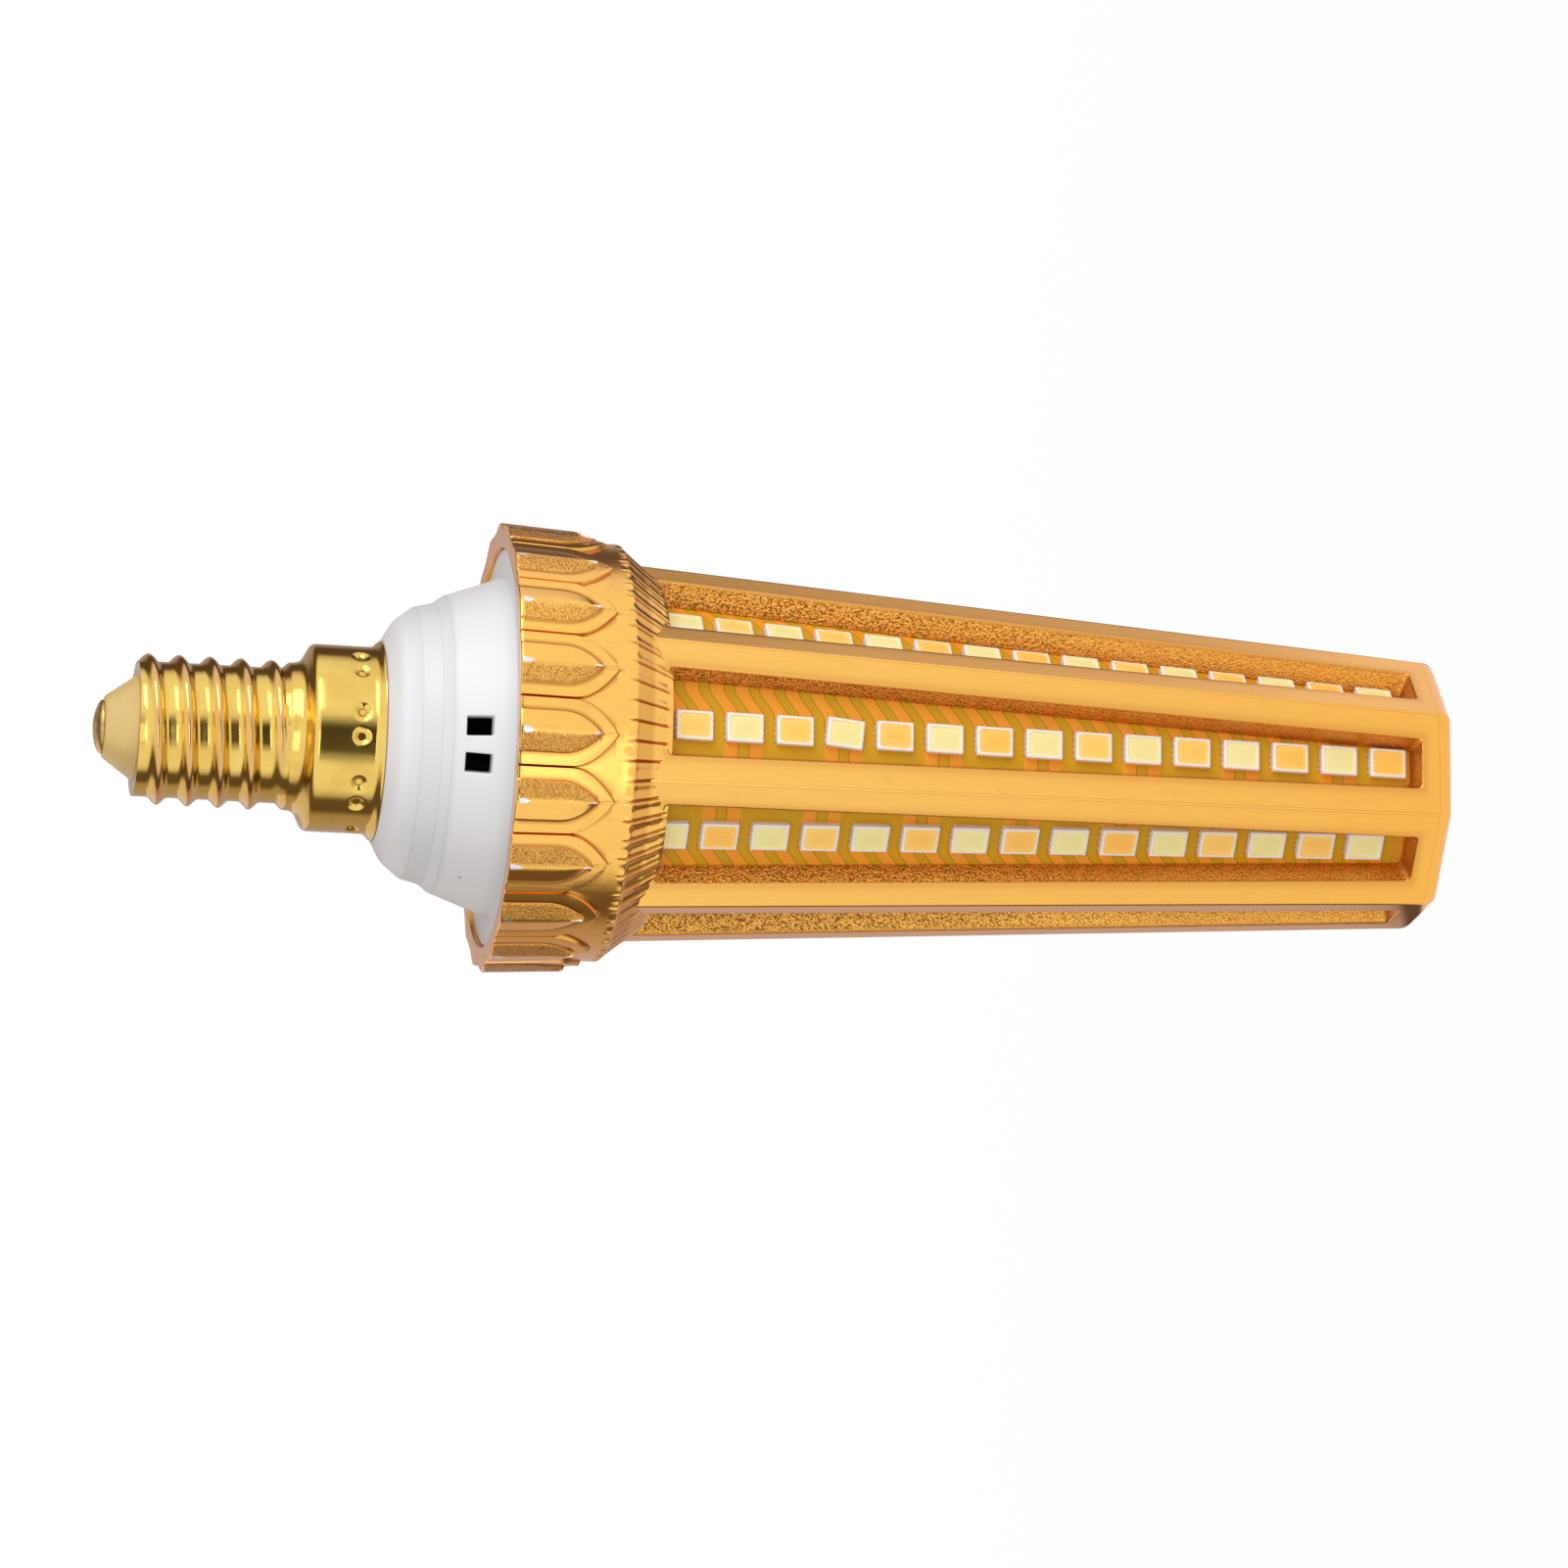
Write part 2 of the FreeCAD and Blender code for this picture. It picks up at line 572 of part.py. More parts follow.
def vent(angle):
    """One vent hole, cut through the cone of the neck."""
    middle = FLANGE_TOP + VENT_RISE
    block = box((-VENT_WIDTH / 2, -NECK_BASE_RADIUS - OVERCUT, middle - VENT_LENGTH / 2),
                (VENT_WIDTH / 2, NECK_WALL + OVERCUT - CONE_TOP_RADIUS, middle + VENT_LENGTH / 2))
    return around(block, angle)


def guide_rib(side):
    """The rib in which one edge of the driver board slides."""
    reach = DRIVER_WIDTH / 2 - RIB_GRIP
    xs = sorted((side * reach, side * NECK_BASE_RADIUS))
    low = PRESS_RING_BOTTOM + RIB_START_GAP
    return box((xs[0], -RIB_WIDTH / 2, low), (xs[1], RIB_WIDTH / 2, NECK_TOP))


def driver_groove():
    """The space that the driver board needs between the ribs."""
    half = DRIVER_WIDTH / 2 + RIB_CLEARANCE
    thick = DRIVER_THICK / 2 + RIB_CLEARANCE
    return box((-half, -thick, DRIVER_BOTTOM), (half, thick, DRIVER_TOP + RIB_CLEARANCE))


def neck_housing():
    """The white neck: flange, vented cone, drum, dome and spigot in one moulding, with two guide ribs."""
    outside = neck_outside()
    ribs = [guide_rib(side).common(outside) for side in (-1, 1)]
    half_pitch = math.degrees(VENT_PITCH / (NECK_BASE_RADIUS + CONE_TOP_RADIUS))
    vents = [vent(VENT_ANGLE - half_pitch), vent(VENT_ANGLE + half_pitch)]
    shell = outside.cut([neck_inside()] + vents).fuse(ribs)
    lead_way = Part.makeCylinder(SPIGOT_BORE, SPIGOT_TOP - DRIVER_TOP,
                                 FreeCAD.Vector(0, 0, DRIVER_TOP + OVERCUT))
    return shell.cut([driver_groove(), lead_way]).removeSplitter()


def cap_profile(inset):
    """The cap's outline without its thread, moved in by an inset."""
    skirt = SKIRT_RADIUS - inset
    throat = THROAT_RADIUS - inset
    tube = THREAD_TUBE_RADIUS - inset
    return turned([(0, NECK_TOP), (CAP_RIM_RADIUS - inset, NECK_TOP), (skirt, NECK_TOP + CAP_RIM_HEIGHT),
                   (skirt, SKIRT_TOP - inset), (throat, SHOULDER_TOP - inset),
                   (throat, THROAT_TOP - inset), (tube, THROAT_TOP + THROAT_SLOPE - inset),
                   (tube, CAP_END - inset), (0, CAP_END - inset)])


def thread_section(turn):
    """Section of the thread's ridge after a number of turns: a rounded crest on a wide foot."""
    foot = THREAD_TUBE_RADIUS - CAP_METAL / 2
    rise = THREAD_CREST_RADIUS - foot
    height = SHOULDER_TOP + THREAD_GAP + THREAD_PITCH * turn
    points = []
    for step in range(-3, 4):
        lift = rise * math.cos(math.pi * step / 6)
        point = FreeCAD.Vector(0, -foot - lift, height + THREAD_FOOT * step / 3)
        points.append(spin(point, 360 * turn))
    return points


def thread_ridge():
    """The rolled ridge of the thread, wound up the cap in short straight steps."""
    count = round(THREAD_TURNS * THREAD_STEPS)
    return faceted([thread_section(step / THREAD_STEPS) for step in range(count + 1)])


def punch(start):
    """An eight-sided crimping punch at the front of the skirt, which narrows inwards from a radius."""
    rings = []
    for depth, radius in ((0, CRIMP_RADIUS), (CRIMP_DEPTH, CRIMP_FLOOR)):
        points = []
        for index in range(CRIMP_SIDES):
            angle = 2 * math.pi * index / CRIMP_SIDES
            points.append(FreeCAD.Vector(radius * math.cos(angle), depth - start,
                                         CRIMP_HEIGHT + radius * math.sin(angle)))
        rings.append(points)
    return faceted(rings)


def screw_cap():
    """The metal cap: flared rim, crimped skirt, shoulder, throat and threaded tube, open at both ends."""
    above = Part.makeCylinder(SKIRT_RADIUS, THREAD_PITCH, FreeCAD.Vector(0, 0, CAP_END))
    shell = cap_profile(0).fuse(thread_ridge().cut(above))
    hole = Part.makeCylinder(LIP_RADIUS, 3 * CAP_METAL, FreeCAD.Vector(0, 0, CAP_END - 2 * CAP_METAL))
    mouth = Part.makeCylinder(SKIRT_RADIUS - CAP_METAL, OVERCUT, FreeCAD.Vector(0, 0, NECK_TOP - OVERCUT))
    shell = shell.cut([cap_profile(CAP_METAL), hole, mouth])
    bumps = []
    dents = []
    for pair in range(CRIMP_PAIRS):
        for side in (-0.5, 0.5):
            angle = CRIMP_ANGLE + 360.0 * pair / CRIMP_PAIRS + side * CRIMP_SPREAD
            bumps.append(around(punch(SKIRT_RADIUS - CAP_METAL + SLIVER), angle))
            dents.append(around(punch(SKIRT_RADIUS + SLIVER), angle))
    return shell.fuse(bumps).cut(dents).removeSplitter()


def cap_insulator():
    """The cream insulator: a disc behind the cap's lip and a cone in front of it, bored for the contact."""
    disc = THREAD_TUBE_RADIUS - CAP_METAL - INSULATOR_CLEARANCE
    inner = CAP_END - CAP_METAL - INSULATOR_CLEARANCE
    bore = CONTACT_STEM_RADIUS + CONTACT_STEM_CLEARANCE
    neck = LIP_RADIUS - INSULATOR_CLEARANCE
    return turned([(bore, inner - INSULATOR_DISC), (disc, inner - INSULATOR_DISC), (disc, inner),
                   (neck, inner), (neck, CAP_END), (INSULATOR_TIP_RADIUS, INSULATOR_TIP),
                   (bore, INSULATOR_TIP)])


def centre_contact():
    """The brass contact: a head with a ball-shaped crown on the insulator, and a stem through it."""
    top = INSULATOR_TIP + CONTACT_EDGE + CONTACT_CROWN
    ball = (CONTACT_RADIUS ** 2 + CONTACT_CROWN ** 2) / (2 * CONTACT_CROWN)
    half = math.asin(CONTACT_RADIUS / ball) / 2
    return turned([(0, STEM_LOW), (CONTACT_STEM_RADIUS, STEM_LOW), (CONTACT_STEM_RADIUS, INSULATOR_TIP),
                   (CONTACT_RADIUS, INSULATOR_TIP), (CONTACT_RADIUS, INSULATOR_TIP + CONTACT_EDGE),
                   (0, top, ball * math.sin(half), top - ball + ball * math.cos(half))])


def driver_board():
    """The driver's circuit board, which stands along the axis."""
    return box((-DRIVER_WIDTH / 2, -DRIVER_THICK / 2, DRIVER_BOTTOM),
               (DRIVER_WIDTH / 2, DRIVER_THICK / 2, DRIVER_TOP))


def smoothing_capacitor():
    """The capacitor: a can with a crimped end, laid along the back of the driver board, with two leads."""
    seal = CAPACITOR_SEAL
    can = turned([(0, 0), (CAPACITOR_RADIUS, 0), (CAPACITOR_RADIUS, seal),
                  (CAPACITOR_RADIUS - CAPACITOR_GROOVE, seal + CAPACITOR_GROOVE),
                  (CAPACITOR_RADIUS, seal + 2 * CAPACITOR_GROOVE), (CAPACITOR_RADIUS, CAPACITOR_LENGTH),
                  (0, CAPACITOR_LENGTH)])
    away = DRIVER_FACE + CAPACITOR_RADIUS
    low = DRIVER_TOP - CAPACITOR_DROP - CAPACITOR_LENGTH
    can.translate(FreeCAD.Vector(CAPACITOR_X, away, low))
    foot = low - CAPACITOR_LEG
    leads = []
    for side in (-1, 1):
        x = CAPACITOR_X + side * CAPACITOR_RADIUS / 3
        leads.append(bent_rod([(x, away, low + SLIVER), (x, away, foot), (x, DRIVER_THICK / 2, foot)],
                              PART_LEAD_BEND, PART_LEAD_RADIUS))
    return can.fuse(leads).removeSplitter()


def inductor():
    """The drum choke: a wound core between two flanges, standing on the back of the driver board."""
    top = INDUCTOR_TALL - INDUCTOR_FLANGE
    spool = turned([(0, 0), (INDUCTOR_RADIUS, 0), (INDUCTOR_RADIUS, INDUCTOR_FLANGE),
                    (INDUCTOR_CORE_RADIUS, INDUCTOR_FLANGE), (INDUCTOR_CORE_RADIUS, top),
                    (INDUCTOR_RADIUS, top), (INDUCTOR_RADIUS, INDUCTOR_TALL), (0, INDUCTOR_TALL)])
    spool.rotate(ORIGIN, SIDE, -90)
    spool.translate(FreeCAD.Vector(INDUCTOR_X, DRIVER_FACE, DRIVER_TOP - INDUCTOR_DROP))
    return spool


def legged_chip(size, x, drop, legs):
    """A moulded chip on the front of the driver board, with a row of flat legs along each side."""
    wide, thick, tall = size
    height = DRIVER_TOP - drop
    body = box((x - wide / 2, -DRIVER_FACE - thick, height - tall / 2),
               (x + wide / 2, -DRIVER_FACE - LEG_THICK / 2, height + tall / 2))
    pieces = []
    for index in range(legs):
        z = height + (index - (legs - 1) / 2) * tall / legs
        pieces.append(box((x - wide / 2 - LEG_REACH, -DRIVER_FACE - LEG_THICK, z - LEG_WIDTH / 2),
                          (x + wide / 2 + LEG_REACH, -DRIVER_FACE, z + LEG_WIDTH / 2)))
    return body.fuse(pieces).removeSplitter()


def fuse_resistor():
    """The fusible resistor: a dog-bone body along the front of the driver board, with a lead at each end."""
    end = RESISTOR_LENGTH / 4
    waist = 1.2 * end
    body = turned([(0, 0), (RESISTOR_END_RADIUS, 0), (RESISTOR_END_RADIUS, end), (RESISTOR_RADIUS, waist),
                   (RESISTOR_RADIUS, RESISTOR_LENGTH - waist), (RESISTOR_END_RADIUS, RESISTOR_LENGTH - end),
                   (RESISTOR_END_RADIUS, RESISTOR_LENGTH), (0, RESISTOR_LENGTH)])
    away = -DRIVER_FACE - RESISTOR_END_RADIUS
    low = DRIVER_TOP - RESISTOR_DROP - RESISTOR_LENGTH / 2
    body.translate(FreeCAD.Vector(RESISTOR_X, away, low))
    leads = []
    for height, out in ((low, -1), (low + RESISTOR_LENGTH, 1)):
        leads.append(bent_rod([(RESISTOR_X, away, height - out * SLIVER),
                               (RESISTOR_X, away, height + out * RESISTOR_LEG),
                               (RESISTOR_X, -DRIVER_THICK / 2, height + out * RESISTOR_LEG)],
                              PART_LEAD_BEND, PART_LEAD_RADIUS))
    return body.fuse(leads).removeSplitter()


def live_lead():
    """The lead from the driver board up the middle of the cap to the contact's stem."""
    front = -DRIVER_FACE - LEAD_RADIUS
    return bent_rod([(CAP_LEAD_X, front, DRIVER_TOP - CAP_LEAD_DROP),
                     (CAP_LEAD_X, front, NECK_TOP + CAP_LEAD_STRAIGHT),
                     (0, 0, NECK_TOP + CAP_LEAD_STRAIGHT + CAP_LEAD_REACH), (0, 0, STEM_LOW - SLIVER)],
                    LIVE_LEAD_BEND, LEAD_RADIUS)


def neutral_lead():
    """The lead from the driver board over the spigot's end, nipped against the cap's shoulder."""
    front = -DRIVER_FACE - LEAD_RADIUS
    over = SPIGOT_TOP + LEAD_RADIUS + SOLDER_SEAT
    reach = THREAD_TUBE_RADIUS + CAP_METAL
    return bent_rod([(-CAP_LEAD_X, front, DRIVER_TOP - CAP_LEAD_DROP), (-CAP_LEAD_X, front, over),
                     (-reach, front, over)], NEUTRAL_LEAD_BEND, LEAD_RADIUS)


def led_lead(side):
    """A lead from the back of the driver board to the tab of the flexible circuit."""
    x = side * LED_LEAD_X
    start = DRIVER_FACE
    end = face_distance(BOARD_TOP, BOARD_DEPTH) - BOARD_THICK - SOLDER_SEAT
    height = TAB_TOP - LED_LEAD_DROP
    sag = height - LED_LEAD_SAG
    return bent_rod([(x, start, height), (x, start + LED_LEAD_STUB, height), (x, (start + end) / 2, sag),
                     (x, end - LED_LEAD_STUB, height), (x, end, height)], LED_LEAD_BEND, LEAD_RADIUS)


PIECES = {
    "gold_shell": gold_shell(),
    "led_board": led_board(),
    "board_core": board_core(),
    "neck_housing": neck_housing(),
    "screw_cap": screw_cap(),
    "cap_insulator": cap_insulator(),
    "centre_contact": centre_contact(),
    "driver_board": driver_board(),
    "smoothing_capacitor": smoothing_capacitor(),
    "inductor": inductor(),
    "bridge_rectifier": legged_chip(RECTIFIER_SIZE, RECTIFIER_X, RECTIFIER_DROP, 2),
    "driver_chip": legged_chip(DRIVER_CHIP_SIZE, DRIVER_CHIP_X, DRIVER_CHIP_DROP, 4),
    "fuse_resistor": fuse_resistor(),
    "live_lead": live_lead(),
    "neutral_lead": neutral_lead(),
    "positive_led_lead": led_lead(-1),
    "negative_led_lead": led_lead(1),
}
PIECES.update(led_rows())

os.makedirs("parts", exist_ok=True)
for name, shape in PIECES.items():
    shape.exportStep("parts/{}.step".format(name))
    print(name, "solids", len(shape.Solids), "valid", shape.isValid(), "volume", round(shape.Volume, 2))
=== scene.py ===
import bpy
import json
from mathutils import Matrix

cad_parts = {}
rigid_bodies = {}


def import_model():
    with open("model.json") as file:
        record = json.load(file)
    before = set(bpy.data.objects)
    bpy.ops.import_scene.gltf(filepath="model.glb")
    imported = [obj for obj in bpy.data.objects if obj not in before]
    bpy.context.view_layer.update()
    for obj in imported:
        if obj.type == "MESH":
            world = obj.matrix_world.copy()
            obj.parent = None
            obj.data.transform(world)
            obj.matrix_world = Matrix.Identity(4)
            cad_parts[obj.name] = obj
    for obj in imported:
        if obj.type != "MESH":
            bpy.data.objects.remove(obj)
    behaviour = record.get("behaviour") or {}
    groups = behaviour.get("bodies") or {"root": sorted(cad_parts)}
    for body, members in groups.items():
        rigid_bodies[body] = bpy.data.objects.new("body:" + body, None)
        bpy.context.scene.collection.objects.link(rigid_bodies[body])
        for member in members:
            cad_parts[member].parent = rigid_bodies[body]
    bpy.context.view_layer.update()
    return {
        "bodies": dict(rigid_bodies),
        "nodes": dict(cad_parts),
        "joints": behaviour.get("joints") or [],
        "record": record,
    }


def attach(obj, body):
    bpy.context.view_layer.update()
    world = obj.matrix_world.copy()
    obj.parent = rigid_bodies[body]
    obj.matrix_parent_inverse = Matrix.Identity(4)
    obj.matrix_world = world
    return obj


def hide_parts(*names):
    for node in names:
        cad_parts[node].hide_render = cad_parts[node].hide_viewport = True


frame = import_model()

import json
import math
import bmesh
import bpy
import numpy as np
from mathutils import Matrix, Vector

# A corn LED lamp: a gold plated shell with eight windows, rows of chips behind them, a petal
# collar, a white neck and an E14 screw cap. It stands on its flat end, with the cap up. Sizes are
# in millimetres, and MM turns them into metres where a mesh or a place is written.


# Studio: a pale round floor that fades into a white surround, three large soft lamps, and a dark
# card that only the sheen shows. The camera sees the lamp lying across its picture, cap at left.
MM = 0.001
WHITE = (1, 1, 1, 1)
CAMERA_AZIMUTH = -0.260486
CAMERA_ELEVATION = 0.160924
CAMERA_ROLL = -1.518147
CAMERA_PLACE = (-208.608, -775.009, 190.883)
CAMERA_RANGE = 20
LENS = 201.97
SENSOR = 36.0
ROOM_BEARING = math.radians(8)
ROOM_TONES = ((0.0, (0.62, 0.54, 0.5, 1)), (0.14, (0.5, 0.42, 0.36, 1)), (0.24, (0.13, 0.09, 0.06, 1)),
              (0.38, (0.13, 0.09, 0.06, 1)), (0.46, (0.75, 0.7, 0.66, 1)), (0.53, WHITE))
ROOM_LIGHT = 0.92
ROOM_SHEEN = 1.0
FLOOR_REACH = 300
FLOOR_POINTS = 64
FLOOR_FADE = (0.35, 0.95)
FLOOR_GLOW = 0.98
FLOOR_GREY = (0.6, 0.58, 0.56, 1)
FLAG_BEARING = math.radians(-15)
FLAG_AWAY = 68
FLAG_HALF = 42
FLAG_SOLID = 0.35
FLAG_LOW = 82
FLAG_HIGH = 118
FLAG_FADE = 7
FLAG_DARK = (0.05, 0.035, 0.02, 1)
LAMP_AIM = (0, 0, 60)
LAMPS = (("key", (600, -650, 420), (700, 700), 2.8), ("front", (-350, -900, 120), (500, 700), 1.0),
         ("back", (-300, 800, 500), (700, 700), 0.6))


def show(name, data):
    """An object with its data, linked to the scene."""
    thing = bpy.data.objects.new(name, data)
    bpy.context.scene.collection.objects.link(thing)
    return thing


def place_camera():
    """The camera looks along the bearing and the elevation, turned about its axis by the roll."""
    flat = math.cos(CAMERA_ELEVATION)
    look = Vector((-math.sin(CAMERA_AZIMUTH) * flat, math.cos(CAMERA_AZIMUTH) * flat,
                   -math.sin(CAMERA_ELEVATION)))
    level = look.cross(Vector((0, 0, 1))).normalized()
    upright = level.cross(look)
    right = level * math.cos(CAMERA_ROLL) + upright * math.sin(CAMERA_ROLL)
    up = upright * math.cos(CAMERA_ROLL) - level * math.sin(CAMERA_ROLL)
    data = bpy.data.cameras.new("camera")
    data.lens = LENS
    data.sensor_width = SENSOR
    data.clip_end = CAMERA_RANGE
    camera = show("camera", data)
    turn = Matrix((right, up, -look)).transposed().to_4x4()
    camera.matrix_world = Matrix.Translation(Vector(CAMERA_PLACE) * MM) @ turn
    bpy.context.scene.camera = camera


def soft_lamp(name, place, size, watts):
    """An area lamp that faces the middle of the lamp."""
    data = bpy.data.lights.new(name, "AREA")
    data.shape = "RECTANGLE"
    data.size, data.size_y = size[0] * MM, size[1] * MM
    data.energy = watts
    away = Vector(place) - Vector(LAMP_AIM)
    turn = away.to_track_quat("Z", "Y").to_matrix().to_4x4()
    show(name, data).matrix_world = Matrix.Translation(Vector(place) * MM) @ turn


def feed(node, **inputs):
    """Sets a node's named inputs, or links those given as a socket. The name n_6 means input 6."""
    for name, value in inputs.items():
        if name.startswith("n_"):
            target = node.inputs[int(name[2:])]
        else:
            label = name.replace("_", " ")
            target = next(s for s in node.inputs if s.name == label and s.enabled)
        if isinstance(value, bpy.types.NodeSocket):
            node.id_data.links.new(value, target)
        else:
            target.default_value = value
    return node


def add(tree, kind, **given):
    """A node of one kind. Names in small letters are its own settings, the rest are its inputs."""
    node = tree.nodes.new("ShaderNode" + kind)
    inputs = {name: value for name, value in given.items() if name[0].isupper() or name[:2] == "n_"}
    for name, value in given.items():
        if name not in inputs:
            setattr(node, name, value)
    return feed(node, **inputs)


def math_node(tree, operation, *values):
    """The result of one sum on values or sockets."""
    places = {"n_{}".format(place): value for place, value in enumerate(values)}
    return add(tree, "Math", operation=operation, **places).outputs[0]


def ramp(tree, value, low, high, start=0.0, end=1.0, shape="LINEAR"):
    """A value spread from the range low to high onto start to end, and held at both ends."""
    return add(tree, "MapRange", interpolation_type=shape, Value=value, From_Min=low, From_Max=high,
               To_Min=start, To_Max=end).outputs["Result"]


def off_by(tree, value, middle):
    """How far a value lies from a middle one."""
    return math_node(tree, "ABSOLUTE", math_node(tree, "SUBTRACT", value, middle))


def mix_colour(tree, share, first, second):
    """A blend of two colours or colour sockets by a share."""
    return add(tree, "Mix", data_type="RGBA", n_0=share, n_6=first, n_7=second).outputs[2]


def layered(tree, colour, *layers):
    """A colour with others laid over it in turn, each by its own share."""
    for share, tone in layers:
        colour = mix_colour(tree, share, colour, tone)
    return colour


def new_group(name, inputs, output, kind):
    """A node group with named sockets, its inner inputs and its end."""
    group = bpy.data.node_groups.new(name, "ShaderNodeTree")
    for label, socket_kind in inputs.items():
        group.interface.new_socket(label, in_out="INPUT", socket_type="NodeSocket" + socket_kind)
    group.interface.new_socket(output, in_out="OUTPUT", socket_type="NodeSocket" + kind)
    return group, group.nodes.new("NodeGroupInput").outputs, group.nodes.new("NodeGroupOutput")


def place_group(tree, group, **inputs):
    """The output of a group that is placed in a tree with inputs of its own."""
    node = tree.nodes.new("ShaderNodeGroup")
    node.node_tree = group
    return feed(node, **inputs).outputs[0]


def blend_shaders(tree, end, share, first, second):
    """Two shaders blended by a share, at the end of a tree."""
    mix = add(tree, "MixShader", n_0=share, n_1=first.outputs[0], n_2=second.outputs[0])
    add(tree, end, n_0=mix.outputs[0])


def room_group():
    """The room's colour by the bearing of a way: white in front, dark at the sides, grey behind."""
    group, given, end = new_group("room_tone", {"Way": "Vector"}, "Tone", "Color")
    outward = add(group, "VectorMath", operation="NORMALIZE", n_0=given["Way"]).outputs["Vector"]
    front = (math.sin(ROOM_BEARING), -math.cos(ROOM_BEARING), 0)
    facing = add(group, "VectorMath", operation="DOT_PRODUCT", n_0=outward, n_1=front)
    tones = add(group, "ValToRGB", n_0=ramp(group, facing.outputs["Value"], -1, 1))
    tones.color_ramp.interpolation = "EASE"
    stops = tones.color_ramp.elements
    stops[0].position, stops[0].color = ROOM_TONES[0]
    stops[1].position, stops[1].color = ROOM_TONES[1]
    for place, colour in ROOM_TONES[2:]:
        stops.new(place).color = colour
    feed(end, Tone=tones.outputs["Color"])
    return group


def light_world(room):
    """The room's tones all round, and plain white where the camera sees them."""
    world = bpy.data.worlds.new("surround")
    bpy.context.scene.world = world
    world.use_nodes = True
    tree = world.node_tree
    tree.nodes.clear()
    path = add(tree, "LightPath").outputs
    tone = place_group(tree, room, Way=add(tree, "TexCoord").outputs["Generated"])
    gain = ramp(tree, path["Is Glossy Ray"], 0, 1, ROOM_LIGHT, ROOM_SHEEN)
    blend_shaders(tree, "OutputWorld", path["Is Camera Ray"],
                  add(tree, "Background", Color=tone, Strength=gain), add(tree, "Background", Color=WHITE))


def stage_sheet(name, corners, paint_name):
    """One flat face that belongs to the studio, and the empty tree and Object place of its paint."""
    data = bpy.data.meshes.new(name)
    data.from_pydata(corners, [], [tuple(range(len(corners)))])
    paint = bpy.data.materials.new(paint_name)
    paint.use_nodes = True
    paint.node_tree.nodes.clear()
    data.materials.append(paint)
    sheet = show(name, data)
    return sheet, paint.node_tree, add(paint.node_tree, "TexCoord").outputs["Object"]


def lay_floor(room):
    """A pale floor: it glows towards white at its rim, and with the room's tones in the sheen."""
    turn = np.linspace(0, 2 * math.pi, FLOOR_POINTS + 1)[:-1]
    rim = np.stack([np.cos(turn), np.sin(turn), 0 * turn], -1) * FLOOR_REACH * MM
    tree, where = stage_sheet("floor", rim.tolist(), "floor_white")[1:]
    path = add(tree, "LightPath").outputs
    away = add(tree, "VectorMath", operation="LENGTH", n_0=where).outputs["Value"]
    near, far = [FLOOR_REACH * MM * share for share in FLOOR_FADE]
    either = math_node(tree, "MAXIMUM", path["Is Camera Ray"], path["Is Glossy Ray"])
    share = math_node(tree, "MULTIPLY", either, ramp(tree, away, near, far, FLOOR_GLOW, 1.0))
    tone = mix_colour(tree, path["Is Camera Ray"], place_group(tree, room, Way=where), WHITE)
    blend_shaders(tree, "OutputMaterial", share, add(tree, "BsdfDiffuse", Color=FLOOR_GREY),
                  add(tree, "Emission", Color=tone))


def hang_flag():
    """A dark card with soft edges in front of the cap, which only reflections show."""
    aim = Vector((math.sin(FLAG_BEARING), -math.cos(FLAG_BEARING), 0))
    side = Vector((math.cos(FLAG_BEARING), math.sin(FLAG_BEARING), 0))
    corners = [(aim * FLAG_AWAY + side * across * FLAG_HALF + Vector((0, 0, height))) * MM
               for across, height in ((-1, FLAG_LOW), (1, FLAG_LOW), (1, FLAG_HIGH), (-1, FLAG_HIGH))]
    flag, tree, where = stage_sheet("flag", corners, "flag_dark")
    tall = (FLAG_HIGH - FLAG_LOW) / 2
    height = add(tree, "SeparateXYZ", n_0=where).outputs["Z"]
    height = off_by(tree, height, (FLAG_LOW + tall) * MM)
    across = add(tree, "VectorMath", operation="DOT_PRODUCT", n_0=where, n_1=side).outputs["Value"]
    across = math_node(tree, "ABSOLUTE", across)
    fade = ramp(tree, height, tall * MM, (tall - FLAG_FADE) * MM, shape="SMOOTHSTEP")
    thin = ramp(tree, across, FLAG_HALF * MM, FLAG_HALF * FLAG_SOLID * MM, shape="SMOOTHSTEP")
    blend_shaders(tree, "OutputMaterial", math_node(tree, "MULTIPLY", thin, fade),
                  add(tree, "BsdfTransparent"), add(tree, "Emission", Color=FLAG_DARK))
    flag.visible_camera = False
    flag.visible_diffuse = False
    flag.visible_shadow = False
    flag.visible_transmission = False


bpy.context.scene.view_settings.view_transform = "Standard"
room_tone = room_group()
hang_flag()
place_camera()
light_world(room_tone)
lay_floor(room_tone)
for lamp in LAMPS:
    soft_lamp(*lamp)


# Gold shell, cage: a tapered eight-sided tube of moulded plastic with a window in each face, plated
# bright gold. Its flat sides are smooth, and the slopes of the windows have a hammered grain.
FACES = 8
HALF_FACE = math.pi / FACES
TIP_RADIUS = 12.5
TOP_RADIUS = 17.65
CAGE_HEIGHT = 77.4
TAPER = (TOP_RADIUS - TIP_RADIUS) / CAGE_HEIGHT
CAGE_WALL = 2.2
TIP_WALL = 1.6
TIP_ROUND = 1.2
CORNER_ROUND = 0.4
CORNER_TRIM = CORNER_ROUND * (math.tan(HALF_FACE) - math.sin(HALF_FACE))
STRIP = 2.5
WINDOW_LOW = 3.0
WINDOW_HIGH = 74.0
WINDOW_LEAN = 0.7
WINDOW_ROUND = 0.45
EDGE_ROUND = 0.22
CAGE_END = 75.8
SIDE_POINTS = 72
END_POINTS = 14
ROUND_POINTS = 5
# The second value of each ring is painted shade: a dark line just inside each face's outline, and darkening
# towards the window.
CREASE_RINGS = ((0, 0.0), (0.06, 0.0), (0.12, 0.32), (0.19, 0.0), (0.3, 0.0))
FRAME_RINGS = ((0.33, 0.0), (0.66, 0.04), (0.86, 0.1), (1.0, 0.22))
CREASE_WORN = 0.4
TIP_WORN = 0.42
WELD = 0.002
